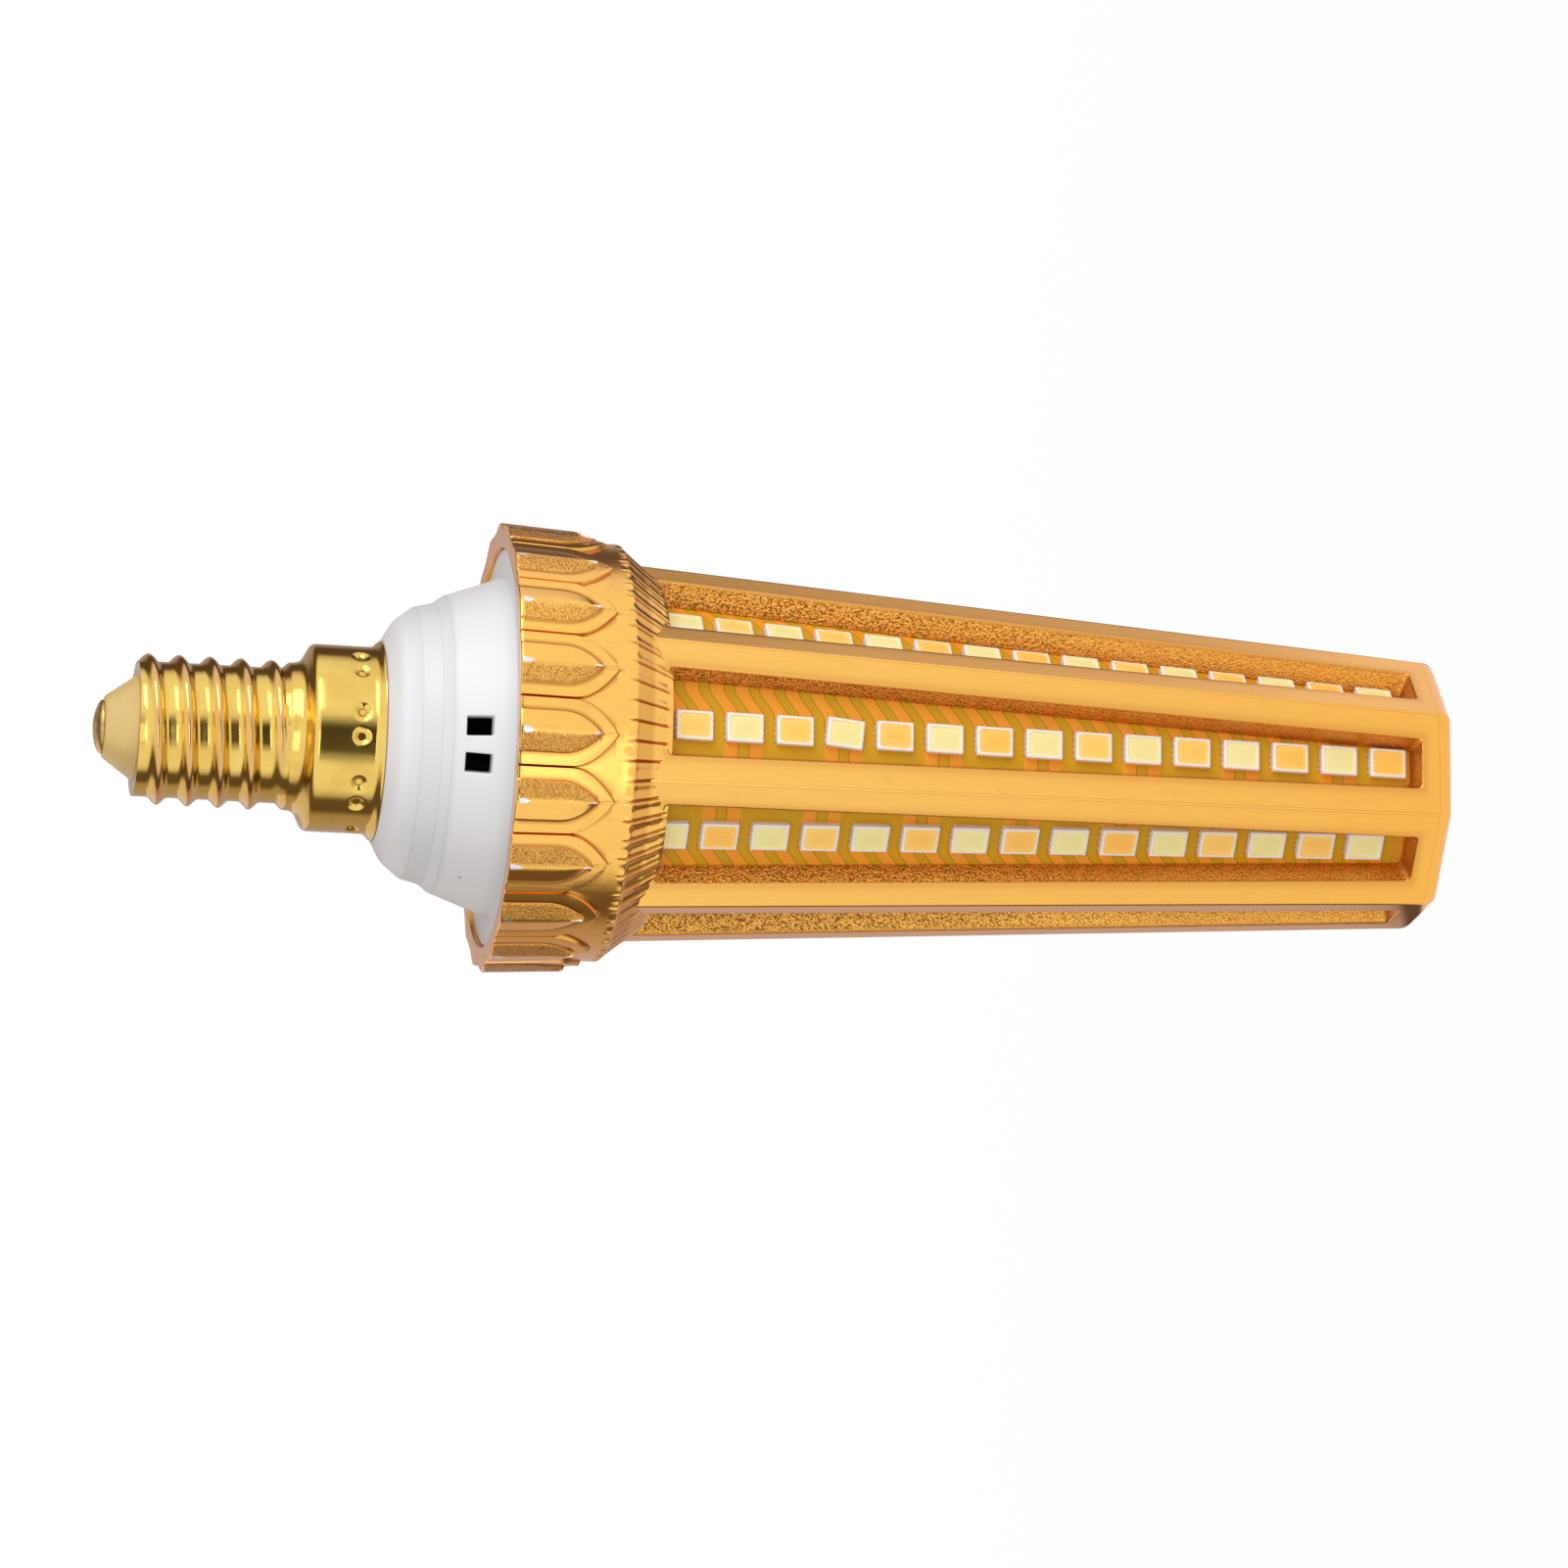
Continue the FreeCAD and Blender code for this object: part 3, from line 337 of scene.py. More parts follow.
SLIVER = 0.0005
SHELL_MASKS = ("hammer", "groove_shade", "worn")


def corner_radius(height):
    """Distance from the axis to a corner of the cage: it grows in step with the height."""
    return TIP_RADIUS + TAPER * height


def facing_points(out, across, angle, height):
    """Points out along a bearing, then across it, at a height. Bearing 0 is the way of -Y."""
    return np.stack([out * math.sin(angle) + across * math.cos(angle),
                     across * math.sin(angle) - out * math.cos(angle), height], -1)


def on_face(face, across, height, depth):
    """Points of one face: out along its normal to the face less a depth, then across it."""
    out = corner_radius(height) * math.cos(HALF_FACE) - depth
    return facing_points(out, across, 2 * HALF_FACE * face, height)


def seam_half(height, depth):
    """Half the width of a face at a depth, up to the plane it shares with its neighbour."""
    return (corner_radius(height) * math.cos(HALF_FACE) - depth) * math.tan(HALF_FACE)


def loop_round(depth, trim, low, high, bend):
    """A closed loop of (across, height): a face at a depth, trimmed at its sides, with quarter rounds."""
    spots = []
    for side, end, start in ((1, -1, -90), (1, 1, 0), (-1, 1, 90), (-1, -1, 180)):
        height = (low + bend) if end < 0 else (high - bend)
        turn = np.radians(start + np.linspace(0, 90, ROUND_POINTS))
        across = side * (seam_half(height, depth) - trim - bend) + bend * np.cos(turn)
        spots.append(np.stack([across, height + bend * np.sin(turn)], -1))
    runs = []
    for index, count in enumerate((SIDE_POINTS, END_POINTS, SIDE_POINTS, END_POINTS)):
        start, end = spots[index][-1], spots[(index + 1) % 4][0]
        share = np.linspace(0, 1, count + 2)[1:-1, None]
        runs += [spots[index], start + (end - start) * share]
    return np.concatenate(runs)


def outline_loop(inset):
    """The outline of one face, drawn in by an inset."""
    return loop_round(0, CORNER_TRIM + inset, TIP_ROUND + inset, CAGE_END - inset, inset * 0.5)


def window_loop(inset):
    """The outline of one window, drawn in by an inset."""
    return loop_round(0, STRIP + inset, WINDOW_LOW + inset, WINDOW_HIGH - inset, WINDOW_ROUND)


def corner_drop(across, half):
    """How far the rounded corner lies below the flat face: the arc's radius less its height there."""
    past = np.clip(np.abs(across) - (half - CORNER_ROUND * math.tan(HALF_FACE)), 0, CORNER_ROUND)
    return CORNER_ROUND - np.sqrt(CORNER_ROUND ** 2 - past ** 2)


def face_rings(face):
    """One face's rings, from its outline to the window, down its slope and back inside, with masks."""
    slope = math.atan2(CAGE_WALL, WINDOW_LEAN)
    start = -EDGE_ROUND * math.tan(slope / 2)
    rings = [(outline_loop(inset), 0.0, 0.0, line) for inset, line in CREASE_RINGS]
    first, last = rings[-1][0], window_loop(start - 0.25)
    rings += [(first + (last - first) * share, 0.0, 0.0, line) for share, line in FRAME_RINGS]
    flat = len(rings)
    # Down the window's slope and at its foot, the last value of each ring is painted shade.
    for turn in np.linspace(0, slope, 5):
        rings.append((window_loop(start + EDGE_ROUND * math.sin(turn)), EDGE_ROUND * (1 - math.cos(turn)),
                      0.3 * turn, 0.26 + 0.26 * turn))
    for share in np.linspace(0.08, 0.93, 7):
        along = (math.hypot(CAGE_WALL, WINDOW_LEAN) + start) * share - start
        rings.append((window_loop(along * math.cos(slope)), along * math.sin(slope), 1.0,
                      0.08 + 0.5 * share ** 4))
    rings += [(window_loop(WINDOW_LEAN - 0.02), CAGE_WALL - 0.06, 0.2, 0.1),
              (window_loop(WINDOW_LEAN - 0.06), CAGE_WALL, 0.0, 0.5),
              (window_loop(WINDOW_LEAN - 0.5), CAGE_WALL, 0.0, 0.0),
              (loop_round(CAGE_WALL, 0, TIP_WALL, CAGE_END, 0), CAGE_WALL, 0.0, 0.0)]
    points, hammer, groove_shade, worn = [], [], [], []
    for index, (spots, depth, rough, pool) in enumerate(rings):
        drop = corner_drop(spots[:, 0], seam_half(spots[:, 1], 0)) if index < flat else 0.0
        points.append(on_face(face, spots[:, 0], spots[:, 1], depth + drop))
        hammer.append(rough * (0.5 + 0.5 * np.clip((spots[:, 1] - 12) / 45, 0, 1)))
        groove_shade.append(np.full(len(spots), pool))
        worn.append(np.full(len(spots), CREASE_WORN if index < 2 else 0.0))
    return np.array(points), {"hammer": np.array(hammer), "groove_shade": np.array(groove_shade), "worn": np.array(worn)}


def grid_quads(rows, columns, start, wrap):
    """The quads of a grid of points, counted row by row, closed round its columns if it wraps."""
    row, column = np.meshgrid(np.arange(rows - 1), np.arange(columns if wrap else columns - 1),
                              indexing="ij")
    after = (column + 1) % columns
    quads = [row * columns + column, row * columns + after, (row + 1) * columns + after,
             (row + 1) * columns + column]
    return np.stack(quads, -1).reshape(-1, 4) + start


def build(name, patches, paints, masks=(), sharp=40.0):
    """A welded piece from patches: (grid of points, whether it wraps, paint number, mask values)."""
    spots, quads, slots, values = [], [], [], {mask: [] for mask in masks}
    start = 0
    for points, wrap, paint, given in patches:
        rows, columns = points.shape[:2]
        spots.append(points.reshape(-1, 3))
        quads.append(grid_quads(rows, columns, start, wrap))
        slots.append(np.full(len(quads[-1]), paint))
        for mask in masks:
            values[mask].append(np.broadcast_to(given.get(mask, 0.0), (rows, columns)).reshape(-1))
        start += rows * columns
    spots, quads, slots = np.concatenate(spots) * MM, np.concatenate(quads), np.concatenate(slots)
    data = bpy.data.meshes.new(name)
    data.vertices.add(len(spots))
    data.vertices.foreach_set("co", spots.astype(np.float32).ravel())
    data.loops.add(quads.size)
    data.loops.foreach_set("vertex_index", quads.astype(np.int32).ravel())
    data.polygons.add(len(quads))
    data.polygons.foreach_set("loop_start", np.arange(0, quads.size, 4, dtype=np.int32))
    data.update()
    for mask in masks:
        layer = data.attributes.new(mask, "FLOAT", "POINT")
        layer.data.foreach_set("value", np.concatenate(values[mask]).astype(np.float32))
    data.polygons.foreach_set("material_index", slots.astype(np.int32))
    for paint in paints:
        data.materials.append(paint)
    work = bmesh.new()
    work.from_mesh(data)
    bmesh.ops.remove_doubles(work, verts=work.verts, dist=WELD * MM)
    bmesh.ops.dissolve_degenerate(work, edges=work.edges, dist=SLIVER * MM)
    if work.calc_volume(signed=True) < 0:
        bmesh.ops.reverse_faces(work, faces=work.faces)
    work.to_mesh(data)
    work.free()
    data.shade_smooth()
    data.set_sharp_from_angle(angle=math.radians(sharp))
    piece = show(name, data)
    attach(piece, "root")
    return piece


def cage_patches():
    """The patches of the cage: eight faces, the rounded flat end, the floor inside and the top edge."""
    patches = []
    rim, inner = outline_loop(0), loop_round(CAGE_WALL, 0, TIP_WALL, CAGE_END, 0)
    low = np.arange(len(rim) - END_POINTS - 1, len(rim) + 1) % len(rim)
    side = SIDE_POINTS + 2 * ROUND_POINTS
    high = np.arange(side - 1, side + END_POINTS + 1)
    share = rim[low, 0] / rim[low, 0].max()
    turn = np.linspace(0, math.pi / 2, 9)[:, None]
    depth = TIP_ROUND * (1 - np.cos(turn)) + 0 * share
    height = TIP_ROUND * (1 - np.sin(turn)) + 0 * share
    drop = corner_drop(rim[low, 0], seam_half(TIP_ROUND, 0)) + 0 * turn
    scale = np.linspace(1, 0, 5)[:, None, None]
    shrink = np.concatenate([scale, scale, scale * 0 + 1], -1)
    for face in range(FACES):
        points, masks = face_rings(face)
        bend = on_face(face, share * (seam_half(height, depth) - CORNER_TRIM), height, depth + drop)
        floor = on_face(face, inner[low, 0], inner[low, 1], CAGE_WALL)[None]
        outer = on_face(face, rim[high, 0], rim[high, 1],
                        corner_drop(rim[high, 0], seam_half(rim[high, 1], 0)))
        inside = on_face(face, inner[high, 0], inner[high, 1], CAGE_WALL)
        patches += [(points, True, 0, masks),
                    (bend, False, 0, {"worn": TIP_WORN * np.sin(2 * turn) + 0 * share}),
                    (bend[-1:] * shrink, False, 0, {}), (floor * shrink, False, 0, {}),
                    (np.stack([outer, inside]), False, 0, {})]
    return patches


def new_material(name):
    """A material, its node tree, its main shader and the place on the piece."""
    paint = bpy.data.materials.new(name)
    paint.use_nodes = True
    tree = paint.node_tree
    return paint, tree, tree.nodes["Principled BSDF"], add(tree, "TexCoord").outputs["Object"]


def linear(red, green, blue):
    """A colour seen as 0 to 255 steps, as the shader's own light values."""
    steps = [c / 255 for c in (red, green, blue)]
    return tuple((c / 12.92 if c <= 0.04045 else ((c + 0.055) / 1.055) ** 2.4) for c in steps) + (1.0,)


def mask_of(tree, name):
    """The value of a piece's own attribute."""
    return add(tree, "Attribute", attribute_name=name).outputs["Fac"]


def noise(tree, where, scale, detail, rough=0.5):
    """Cloudy noise between 0 and 1."""
    return add(tree, "TexNoise", Vector=where, Scale=scale, Detail=detail, Roughness=rough).outputs["Fac"]


GOLD = linear(255, 198, 102)
GOLD_WARM = linear(248, 182, 82)
GOLD_ASLANT_SHEEN = linear(236, 174, 126)
GOLD_SHADE_AND_STAIN = linear(172, 88, 26)
GOLD_PIT = linear(104, 60, 20)
GOLD_WORN = linear(232, 236, 244)


def gold_plating():
    """Bright gold: a painted pinkish reflection where seen aslant, deep orange as painted shade in creases
    and notches and as stains and streaks, hammered or worn where masked.
    """
    paint, tree, shader, where = new_material("gold_plating")
    hammer, groove_shade, worn = [mask_of(tree, name) for name in SHELL_MASKS]
    stretch = add(tree, "Mapping", Vector=where, Scale=(1.0, 1.0, 0.04)).outputs[0]
    streak = noise(tree, stretch, 4200.0, 3.0, 0.6)
    grain = noise(tree, where, 5600.0, 2.0, 0.55)
    blotch = noise(tree, where, 420.0, 5.0, 0.65)
    lumps = noise(tree, where, 4300.0, 2.0)
    coarse = ramp(tree, hammer, 0.62, 0.8)
    relief = add(tree, "Mix", n_0=coarse, n_2=grain, n_3=lumps).outputs[0]
    dark = math_node(tree, "MULTIPLY", ramp(tree, relief, 0.5, 0.58), hammer)
    dark = math_node(tree, "MULTIPLY", dark, 0.72)
    line = ramp(tree, streak, 0.5, 0.75, 0.0, 0.09)
    stain = ramp(tree, blotch, 0.56, 0.7, 0.0, 0.1)
    # Painted shade in creases and notches, together with real streaks and blotchy stains, all in one deep
    # orange.
    pool = math_node(tree, "MAXIMUM", groove_shade, math_node(tree, "MAXIMUM", line, stain))
    # Painted reflection: faces seen aslant turn pinkish.
    aslant = add(tree, "LayerWeight", Blend=0.5).outputs["Facing"]
    height = add(tree, "SeparateXYZ", n_0=where).outputs["Z"]
    bare = ramp(tree, math_node(tree, "ADD", worn, blotch), 1.05, 1.15)
    colour = layered(tree, GOLD, (ramp(tree, height, 0.075, 0.005, 0.0, 0.85), GOLD_WARM),
                     (ramp(tree, aslant, 0.35, 0.75, 0.0, 0.8), GOLD_ASLANT_SHEEN), (pool, GOLD_SHADE_AND_STAIN),
                     (dark, GOLD_PIT), (bare, GOLD_WORN))
    bump = add(tree, "Bump", Height=relief, Distance=0.27 * MM,
               Strength=math_node(tree, "MULTIPLY_ADD", hammer, 0.92, 0.03)).outputs[0]
    fine = add(tree, "Bump", Height=streak, Strength=0.12, Distance=0.05 * MM, Normal=bump).outputs[0]
    feed(shader, Base_Color=colour, Metallic=1.0, Normal=fine,
         Roughness=math_node(tree, "MULTIPLY_ADD", hammer, 0.06, 0.2))
    return paint


gold = gold_plating()
cage = build("shell_cage", cage_patches(), [gold], SHELL_MASKS)


# Gold shell, flutes and collar: the same moulding widens through a ring of flutes to a smooth band,
# then carries twenty pointed petals, each with a roof-shaped leaf. Its mouth takes the neck's flange.
PETALS = 20
FLUTES = 64
FLUTE_LOW = 73.6
FLUTE_LOW_RADIUS = 16.12
FLUTE_START = 74.3
FLUTE_START_RADIUS = 16.7
FLUTE_DEPTH = 0.4
FLUTE_END = 78.55
FLUTE_STEPS = (0, 0.05, 0.1, 0.16, 0.24, 0.36, 0.5, 0.64, 0.76, 0.84, 0.9, 0.95)
PETAL_TURN = math.radians(-1.1)
BAND_RADIUS = 19.25
BAND_END = 78.4
RIM_HEIGHT = 88.1
RIM_RADIUS = 19.85
RIM_BEVEL = 0.16
MOUTH_RADIUS = 18.4
MOUTH_DEPTH = 1.9
BORE_RADIUS = 16.8
PETAL_TIP = 79.0
PETAL_POINT = 4.2
PETAL_RISE = 0.42
PETAL_GAP = 0.1
LEAF_TIP = 80.45
LEAF_POINT = 3.6
LEAF_HALF = 1.85
LEAF_STEP = 0.12
LEAF_RISE = 0.5
STEP_WIDTH = 0.13
HAMMER_SPLIT = -19.4


def ring_points(radius, angle, height):
    """Points at a radius, a bearing and a height."""
    return np.stack([radius * np.sin(angle), -radius * np.cos(angle), height + 0 * angle], -1)


def arch_half(height, tip, point, half):
    """Half the width of a pointed arch: a parabola from its tip to its full half at the shoulder."""
    share = (height - tip) / point
    return np.where(share < 0, share * 2 * half, half * (1 - np.clip(1 - share, 0, 1) ** 2))


def eased(share):
    """A share from 0 to 1 with a smooth start and end."""
    return share * share * (3 - 2 * share)


def soft_step(value):
    """A smooth step from 0 to 1 as the value goes from -0.5 to 0.5."""
    return eased(np.clip(value + 0.5, 0, 1))


def collar_base(height):
    """Radius of the plain collar: the cone of the flutes, the level band, then a gentle widening."""
    cone = (FLUTE_START_RADIUS + (BAND_RADIUS - FLUTE_START_RADIUS) * (height - FLUTE_START)
            / (CAGE_HEIGHT - FLUTE_START))
    wide = (BAND_RADIUS + (RIM_RADIUS - BAND_RADIUS) * np.clip(height - BAND_END, 0, None)
            / (RIM_HEIGHT - BAND_END))
    return np.minimum(cone, wide)


def petal_columns(height):
    """Distances across half a petal's cell by height, so that grid lines follow leaf and petal edges."""
    cell = RIM_RADIUS * math.pi / PETALS
    petal = np.clip(arch_half(height, PETAL_TIP, PETAL_POINT, cell - PETAL_GAP / 2), 0.42, None)
    leaf = np.clip(arch_half(height, LEAF_TIP, LEAF_POINT, LEAF_HALF), 0.16, None)
    leaf = np.minimum(leaf, petal - 0.22)
    parts = [leaf * share for share in (0, 0.25, 0.5, 0.72, 0.88)]
    parts += [leaf - STEP_WIDTH / 2, leaf, leaf + STEP_WIDTH / 2]
    inner, outer = leaf + STEP_WIDTH / 2, petal - STEP_WIDTH / 2
    parts += [inner + (outer - inner) * share for share in (0.33, 0.66, 1)]
    start = np.minimum(petal + STEP_WIDTH / 2, cell - 0.02)
    parts += [petal, start]
    parts += [start + (cell - start) * share for share in (0.33, 0.66, 1)]
    return np.stack(parts, -1) / cell


def flute_surface():
    """The fluted ring: the cone, less a narrow notch at each step round it that fades out above."""
    heights = np.concatenate([[FLUTE_LOW], np.linspace(FLUTE_START - 0.4, FLUTE_END - 0.3, 40), [FLUTE_END]])
    angles = ((np.arange(FLUTES)[:, None] + np.array(FLUTE_STEPS)) * 2 * math.pi / FLUTES).reshape(-1)
    share = np.abs((np.array(FLUTE_STEPS) + 0.5) % 1 - 0.5)
    share = np.broadcast_to(np.tile(share, FLUTES), (len(heights), len(angles)))
    number = np.repeat(np.arange(FLUTES), len(FLUTE_STEPS))
    height = np.broadcast_to(heights[:, None], share.shape)
    top = CAGE_HEIGHT + 0.75 + 0.18 * np.sin(number * 2.4) + 0.12 * np.sin(number * 5.1)
    ease = np.clip((top - height) / 0.9, 0, 1) * np.clip((height - FLUTE_START + 0.5) / 0.4, 0, 1)
    notch = np.clip(1 - share / 0.11, 0, 1)
    flute = (FLUTE_DEPTH * 0.6 * notch + 0.2 * (share / 0.5) ** 2) * ease
    seam = (np.clip((CAGE_HEIGHT - 0.1 - height) / 0.35, 0, 1)
            * np.clip((height - FLUTE_START - 0.9) / 0.5, 0, 1))
    radius = collar_base(height) - flute - 0.06 * seam
    # Painted shade: the notch of each flute and the seam above the cage are darkened.
    groove_shade = np.clip(0.6 * np.clip(notch * 1.4, 0, 1) * ease + 0.34 * seam, 0, 1)
    return ring_points(radius, angles, height), groove_shade


def collar_surface():
    """The collar's outside: radius by height and bearing, with petals and their leaves added to it."""
    heights = np.concatenate([np.linspace(FLUTE_END, PETAL_TIP - 0.2, 5),
                              np.linspace(PETAL_TIP - 0.1, LEAF_TIP + LEAF_POINT + 0.3, 56),
                              np.linspace(LEAF_TIP + LEAF_POINT + 0.5, RIM_HEIGHT - RIM_BEVEL, 14)])
    half = petal_columns(heights)
    columns = np.concatenate([-half[:, :0:-1], half[:, :-1]], 1)[:, None, :]
    cell = RIM_RADIUS * math.pi / PETALS
    cells = (2 * np.arange(PETALS) + 1) * math.pi / PETALS + PETAL_TURN
    angle = cells[None, :, None] + columns * math.pi / PETALS
    height = np.broadcast_to(heights[:, None, None], angle.shape)
    across = np.broadcast_to(np.abs(columns), angle.shape) * cell
    petal_in = arch_half(height, PETAL_TIP, PETAL_POINT, cell - PETAL_GAP / 2) - across
    leaf_half = arch_half(height, LEAF_TIP, LEAF_POINT, LEAF_HALF)
    leaf_in = leaf_half - across
    lean = 0.65 + 0.35 * soft_step((height - PETAL_TIP - PETAL_POINT + 0.8) / 1.6)
    petal = soft_step(petal_in * lean / STEP_WIDTH)
    leaf = soft_step(leaf_in * lean / STEP_WIDTH)
    roof = (LEAF_RISE - LEAF_STEP) * np.clip(1 - across / np.clip(leaf_half, 0.05, None), 0, 1)
    radius = collar_base(height) + PETAL_RISE * petal + (LEAF_STEP + roof) * leaf
    # Painted shade: a dark line at the foot of each petal's and each leaf's edge.
    line = (np.exp(-((petal_in * lean + 0.06) / 0.07) ** 2)
            + np.exp(-((leaf_in * lean + 0.05) / 0.06) ** 2))
    # Each leaf's hammered half is picked by which side of a fixed bearing the leaf lies on, so the two sides
    # of the lamp mirror each other. The grain is bump, and its darkening here and in the dark lines is
    # painted shade.
    centre = np.degrees((cells + math.pi) % (2 * math.pi) - math.pi)[None, :, None]
    low_side = (centre > HAMMER_SPLIT) & (centre < HAMMER_SPLIT + 180)
    signed = np.broadcast_to(columns, angle.shape) * np.where(low_side, -1, 1)
    hammer = 0.62 * soft_step(signed * 25 - 0.4) * soft_step(leaf_in * 8) * np.where(height > LEAF_TIP, 1, 0)
    crease = np.clip(0.75 * line + 0.6 * hammer, 0, 1)
    ridge = np.exp(-(across / (0.12 + 0.3 * np.clip((height - 86.4) / 1.5, 0, 1))) ** 2) * leaf
    ends = np.exp(-((height - LEAF_TIP - 0.5) / 0.5) ** 2) + np.clip((height - 86.2) / 1.3, 0, 1)
    worn = np.clip(1.3 * ridge * ends, 0, 1)
    masks = {"hammer": hammer, "groove_shade": crease, "worn": worn}
    masks = {name: mask.reshape(len(heights), -1) for name, mask in masks.items()}
    return ring_points(radius, angle, height).reshape(len(heights), -1, 3), masks


def level_rings(aim, rings):
    """Rings of (radius or radii, height) along the level ways of a first ring."""
    return [np.concatenate([aim * np.reshape(radius, (-1, 1)), np.full((len(aim), 1), height)], 1)
            for radius, height in rings]


def flat_ways(ring):
    """The level ways from the axis to a ring's points, and their distances."""
    away = np.hypot(ring[:, 0], ring[:, 1])
    return ring[:, :2] / away[:, None], away


outside, collar_masks = collar_surface()
collar_aim, rim_away = flat_ways(outside[-1])
bevel = [(rim_away - RIM_BEVEL * (1 - math.cos(turn)), RIM_HEIGHT - RIM_BEVEL + RIM_BEVEL * math.sin(turn))
         for turn in np.linspace(0, math.pi / 2, 4)[1:]]
mouth = [(MOUTH_RADIUS + 0.12, RIM_HEIGHT), (MOUTH_RADIUS + 0.04, RIM_HEIGHT - 0.03),
         (MOUTH_RADIUS, RIM_HEIGHT - 0.12), (MOUTH_RADIUS, RIM_HEIGHT - MOUTH_DEPTH),
         (BORE_RADIUS, RIM_HEIGHT - MOUTH_DEPTH), (BORE_RADIUS, FLUTE_END)]
collar_close = np.array([outside[-1]] + level_rings(collar_aim, bevel + mouth) + [outside[0]])
fluted, flute_mask = flute_surface()
behind = [(BORE_RADIUS, FLUTE_END), (BORE_RADIUS, CAGE_HEIGHT),
          (FLUTE_LOW_RADIUS - 0.6, CAGE_HEIGHT - 0.5), (FLUTE_LOW_RADIUS - 0.6, FLUTE_LOW)]
flute_close = np.array([fluted[-1]] + level_rings(flat_ways(fluted[0])[0], behind) + [fluted[0]])
flutes = build("shell_flutes", [(fluted, True, 0, {"groove_shade": flute_mask}), (flute_close, True, 0, {})],
               [gold], SHELL_MASKS, 50.0)
collar = build("shell_collar", [(outside, True, 0, collar_masks), (collar_close, True, 0, {})],
               [gold], SHELL_MASKS)
for piece in (cage, flutes, collar):
    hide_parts("gold_shell")


# Flexible circuit: a thin mustard sleeve behind the windows, with orange copper tracks that run
# slantwise from chip to chip and plain fields beside them. A tab at the back takes the leads.
BOARD_DEPTH = 2.25
BOARD_THICK = 0.3
BOARD_LOW = 3.6
BOARD_HIGH = 76.5
BOARD_SEAM = 0.5
BOARD_SINK = 0.01
SEAM_FACE = 5
TAB_HALF = 3.5
TAB_HIGH = 83.7
FIRST_CHIP = 71.35
CHIP_PITCH = 4.674
ROW_CHIPS = 15
ROW_SHIFTS = (0.0, 0.45, 0.8, 1.2, 0.6, 0.2, 1.1, 1.6)
ROW_OFFSETS = (-0.25, 0.05, 0.1, -0.1, 0.0, 0.1, -0.1, 0.15)
ROW_DRIFTS = (0.5, 0.2, 0.1, -0.15, 0.2, -0.1, 0.1, 0.15)
OFF_TRACKS = 9.0
BOARD_MARKS = ("across", "step", "turn")


def row_offset(face, step):
    """How far a row's middle lies off its face's at a chip step: it drifts along the row."""
    return ROW_OFFSETS[face] + ROW_DRIFTS[face] * (step - 7) / 7


def board_surface():
    """The sleeve, row by row from the seam round eight faces and back inside, with track places."""
    heights = np.linspace(BOARD_LOW, BOARD_HIGH, 61)
    sides = []
    for depth in (BOARD_DEPTH, BOARD_DEPTH + BOARD_THICK):
        columns = []
        for order in range(FACES):
            face = (order + SEAM_FACE) % FACES
            half = seam_half(heights, depth)
            low = -half + (BOARD_SEAM / 2 if order == 0 else 0)
            high = half - (BOARD_SEAM / 2 if order == FACES - 1 else 0)
            share = np.linspace(0, 1, 9)[(0 if order == 0 else 1):]
            across = low[:, None] + (high - low)[:, None] * share
            step = ((FIRST_CHIP + ROW_SHIFTS[face] - heights) / CHIP_PITCH)[:, None]
            side = 1 if face < FACES // 2 else -1
            columns.append((on_face(face, across, heights[:, None] + 0 * across, depth),
                            side * (across - row_offset(face, step)), step + 0 * across, side + 0 * across))
        sides.append([np.concatenate(part, 1) for part in zip(*columns)])
    points, *marks = [np.concatenate([outer, inner[:, ::-1]], 1) for outer, inner in zip(*sides)]
    count = points.shape[1] // 2
    ends = [np.stack([points[row, :count], points[row, :count - 1:-1]]) for row in (0, -1)]
    return points, dict(zip(BOARD_MARKS, marks)), ends


def prism(loop, low, high):
    """A closed block: a flat loop of points carried from one height to another, both ends filled."""
    middle = loop.mean(0)
    rings = [np.concatenate([middle + (loop - middle) * scale, np.full((len(loop), 1), height)], 1)
             for scale, height in ((0, low), (1, low), (1, high), (0, high))]
    return np.array(rings)


def flex_material():
    """Mustard mask with orange tracks, drawn in millimetres across and chip steps along the row."""
    paint, tree, shader, where = new_material("flex_circuit")
    across, step, turn = [mask_of(tree, name) for name in BOARD_MARKS]
    blotch = noise(tree, where, 420.0, 3.0)
    fine = noise(tree, where, 5200.0, 2.0)
    sweep = ramp(tree, across, 1.2, 3.8, 0.0, 0.3, "SMOOTHSTEP")
    along = math_node(tree, "ADD", step, math_node(tree, "MULTIPLY", sweep, turn))
    phase = math_node(tree, "FRACT", math_node(tree, "MULTIPLY", along, 2.0))
    off = off_by(tree, phase, 0.5)
    line = off_by(tree, off, 0.29)
    half = math_node(tree, "FRACT", math_node(tree, "MULTIPLY", step, 0.5))
    calm = math_node(tree, "GREATER_THAN", off_by(tree, half, 0.5), 0.19)
    calm = math_node(tree, "MULTIPLY", calm, ramp(tree, across, -1.0, -1.2))
    left = math_node(tree, "SUBTRACT", 1.0, calm)
    copper = math_node(tree, "MULTIPLY", ramp(tree, off, 0.3, 0.28), left)
    edge = math_node(tree, "MULTIPLY", ramp(tree, line, 0.01, 0.028, 0.7, 0.0), left)
    mask = mix_colour(tree, blotch, linear(224, 158, 14), linear(208, 168, 24))
    bright = mix_colour(tree, blotch, linear(252, 172, 50), linear(244, 156, 42))
    colour = layered(tree, mask, (copper, bright), (edge, linear(150, 88, 12)))
    bump = add(tree, "Bump", Height=math_node(tree, "MULTIPLY_ADD", fine, 0.25, copper), Strength=0.4,
               Distance=0.03 * MM).outputs[0]
    feed(shader, Base_Color=colour, Roughness=0.42, Specular_IOR_Level=0.25, Normal=bump)
    return paint


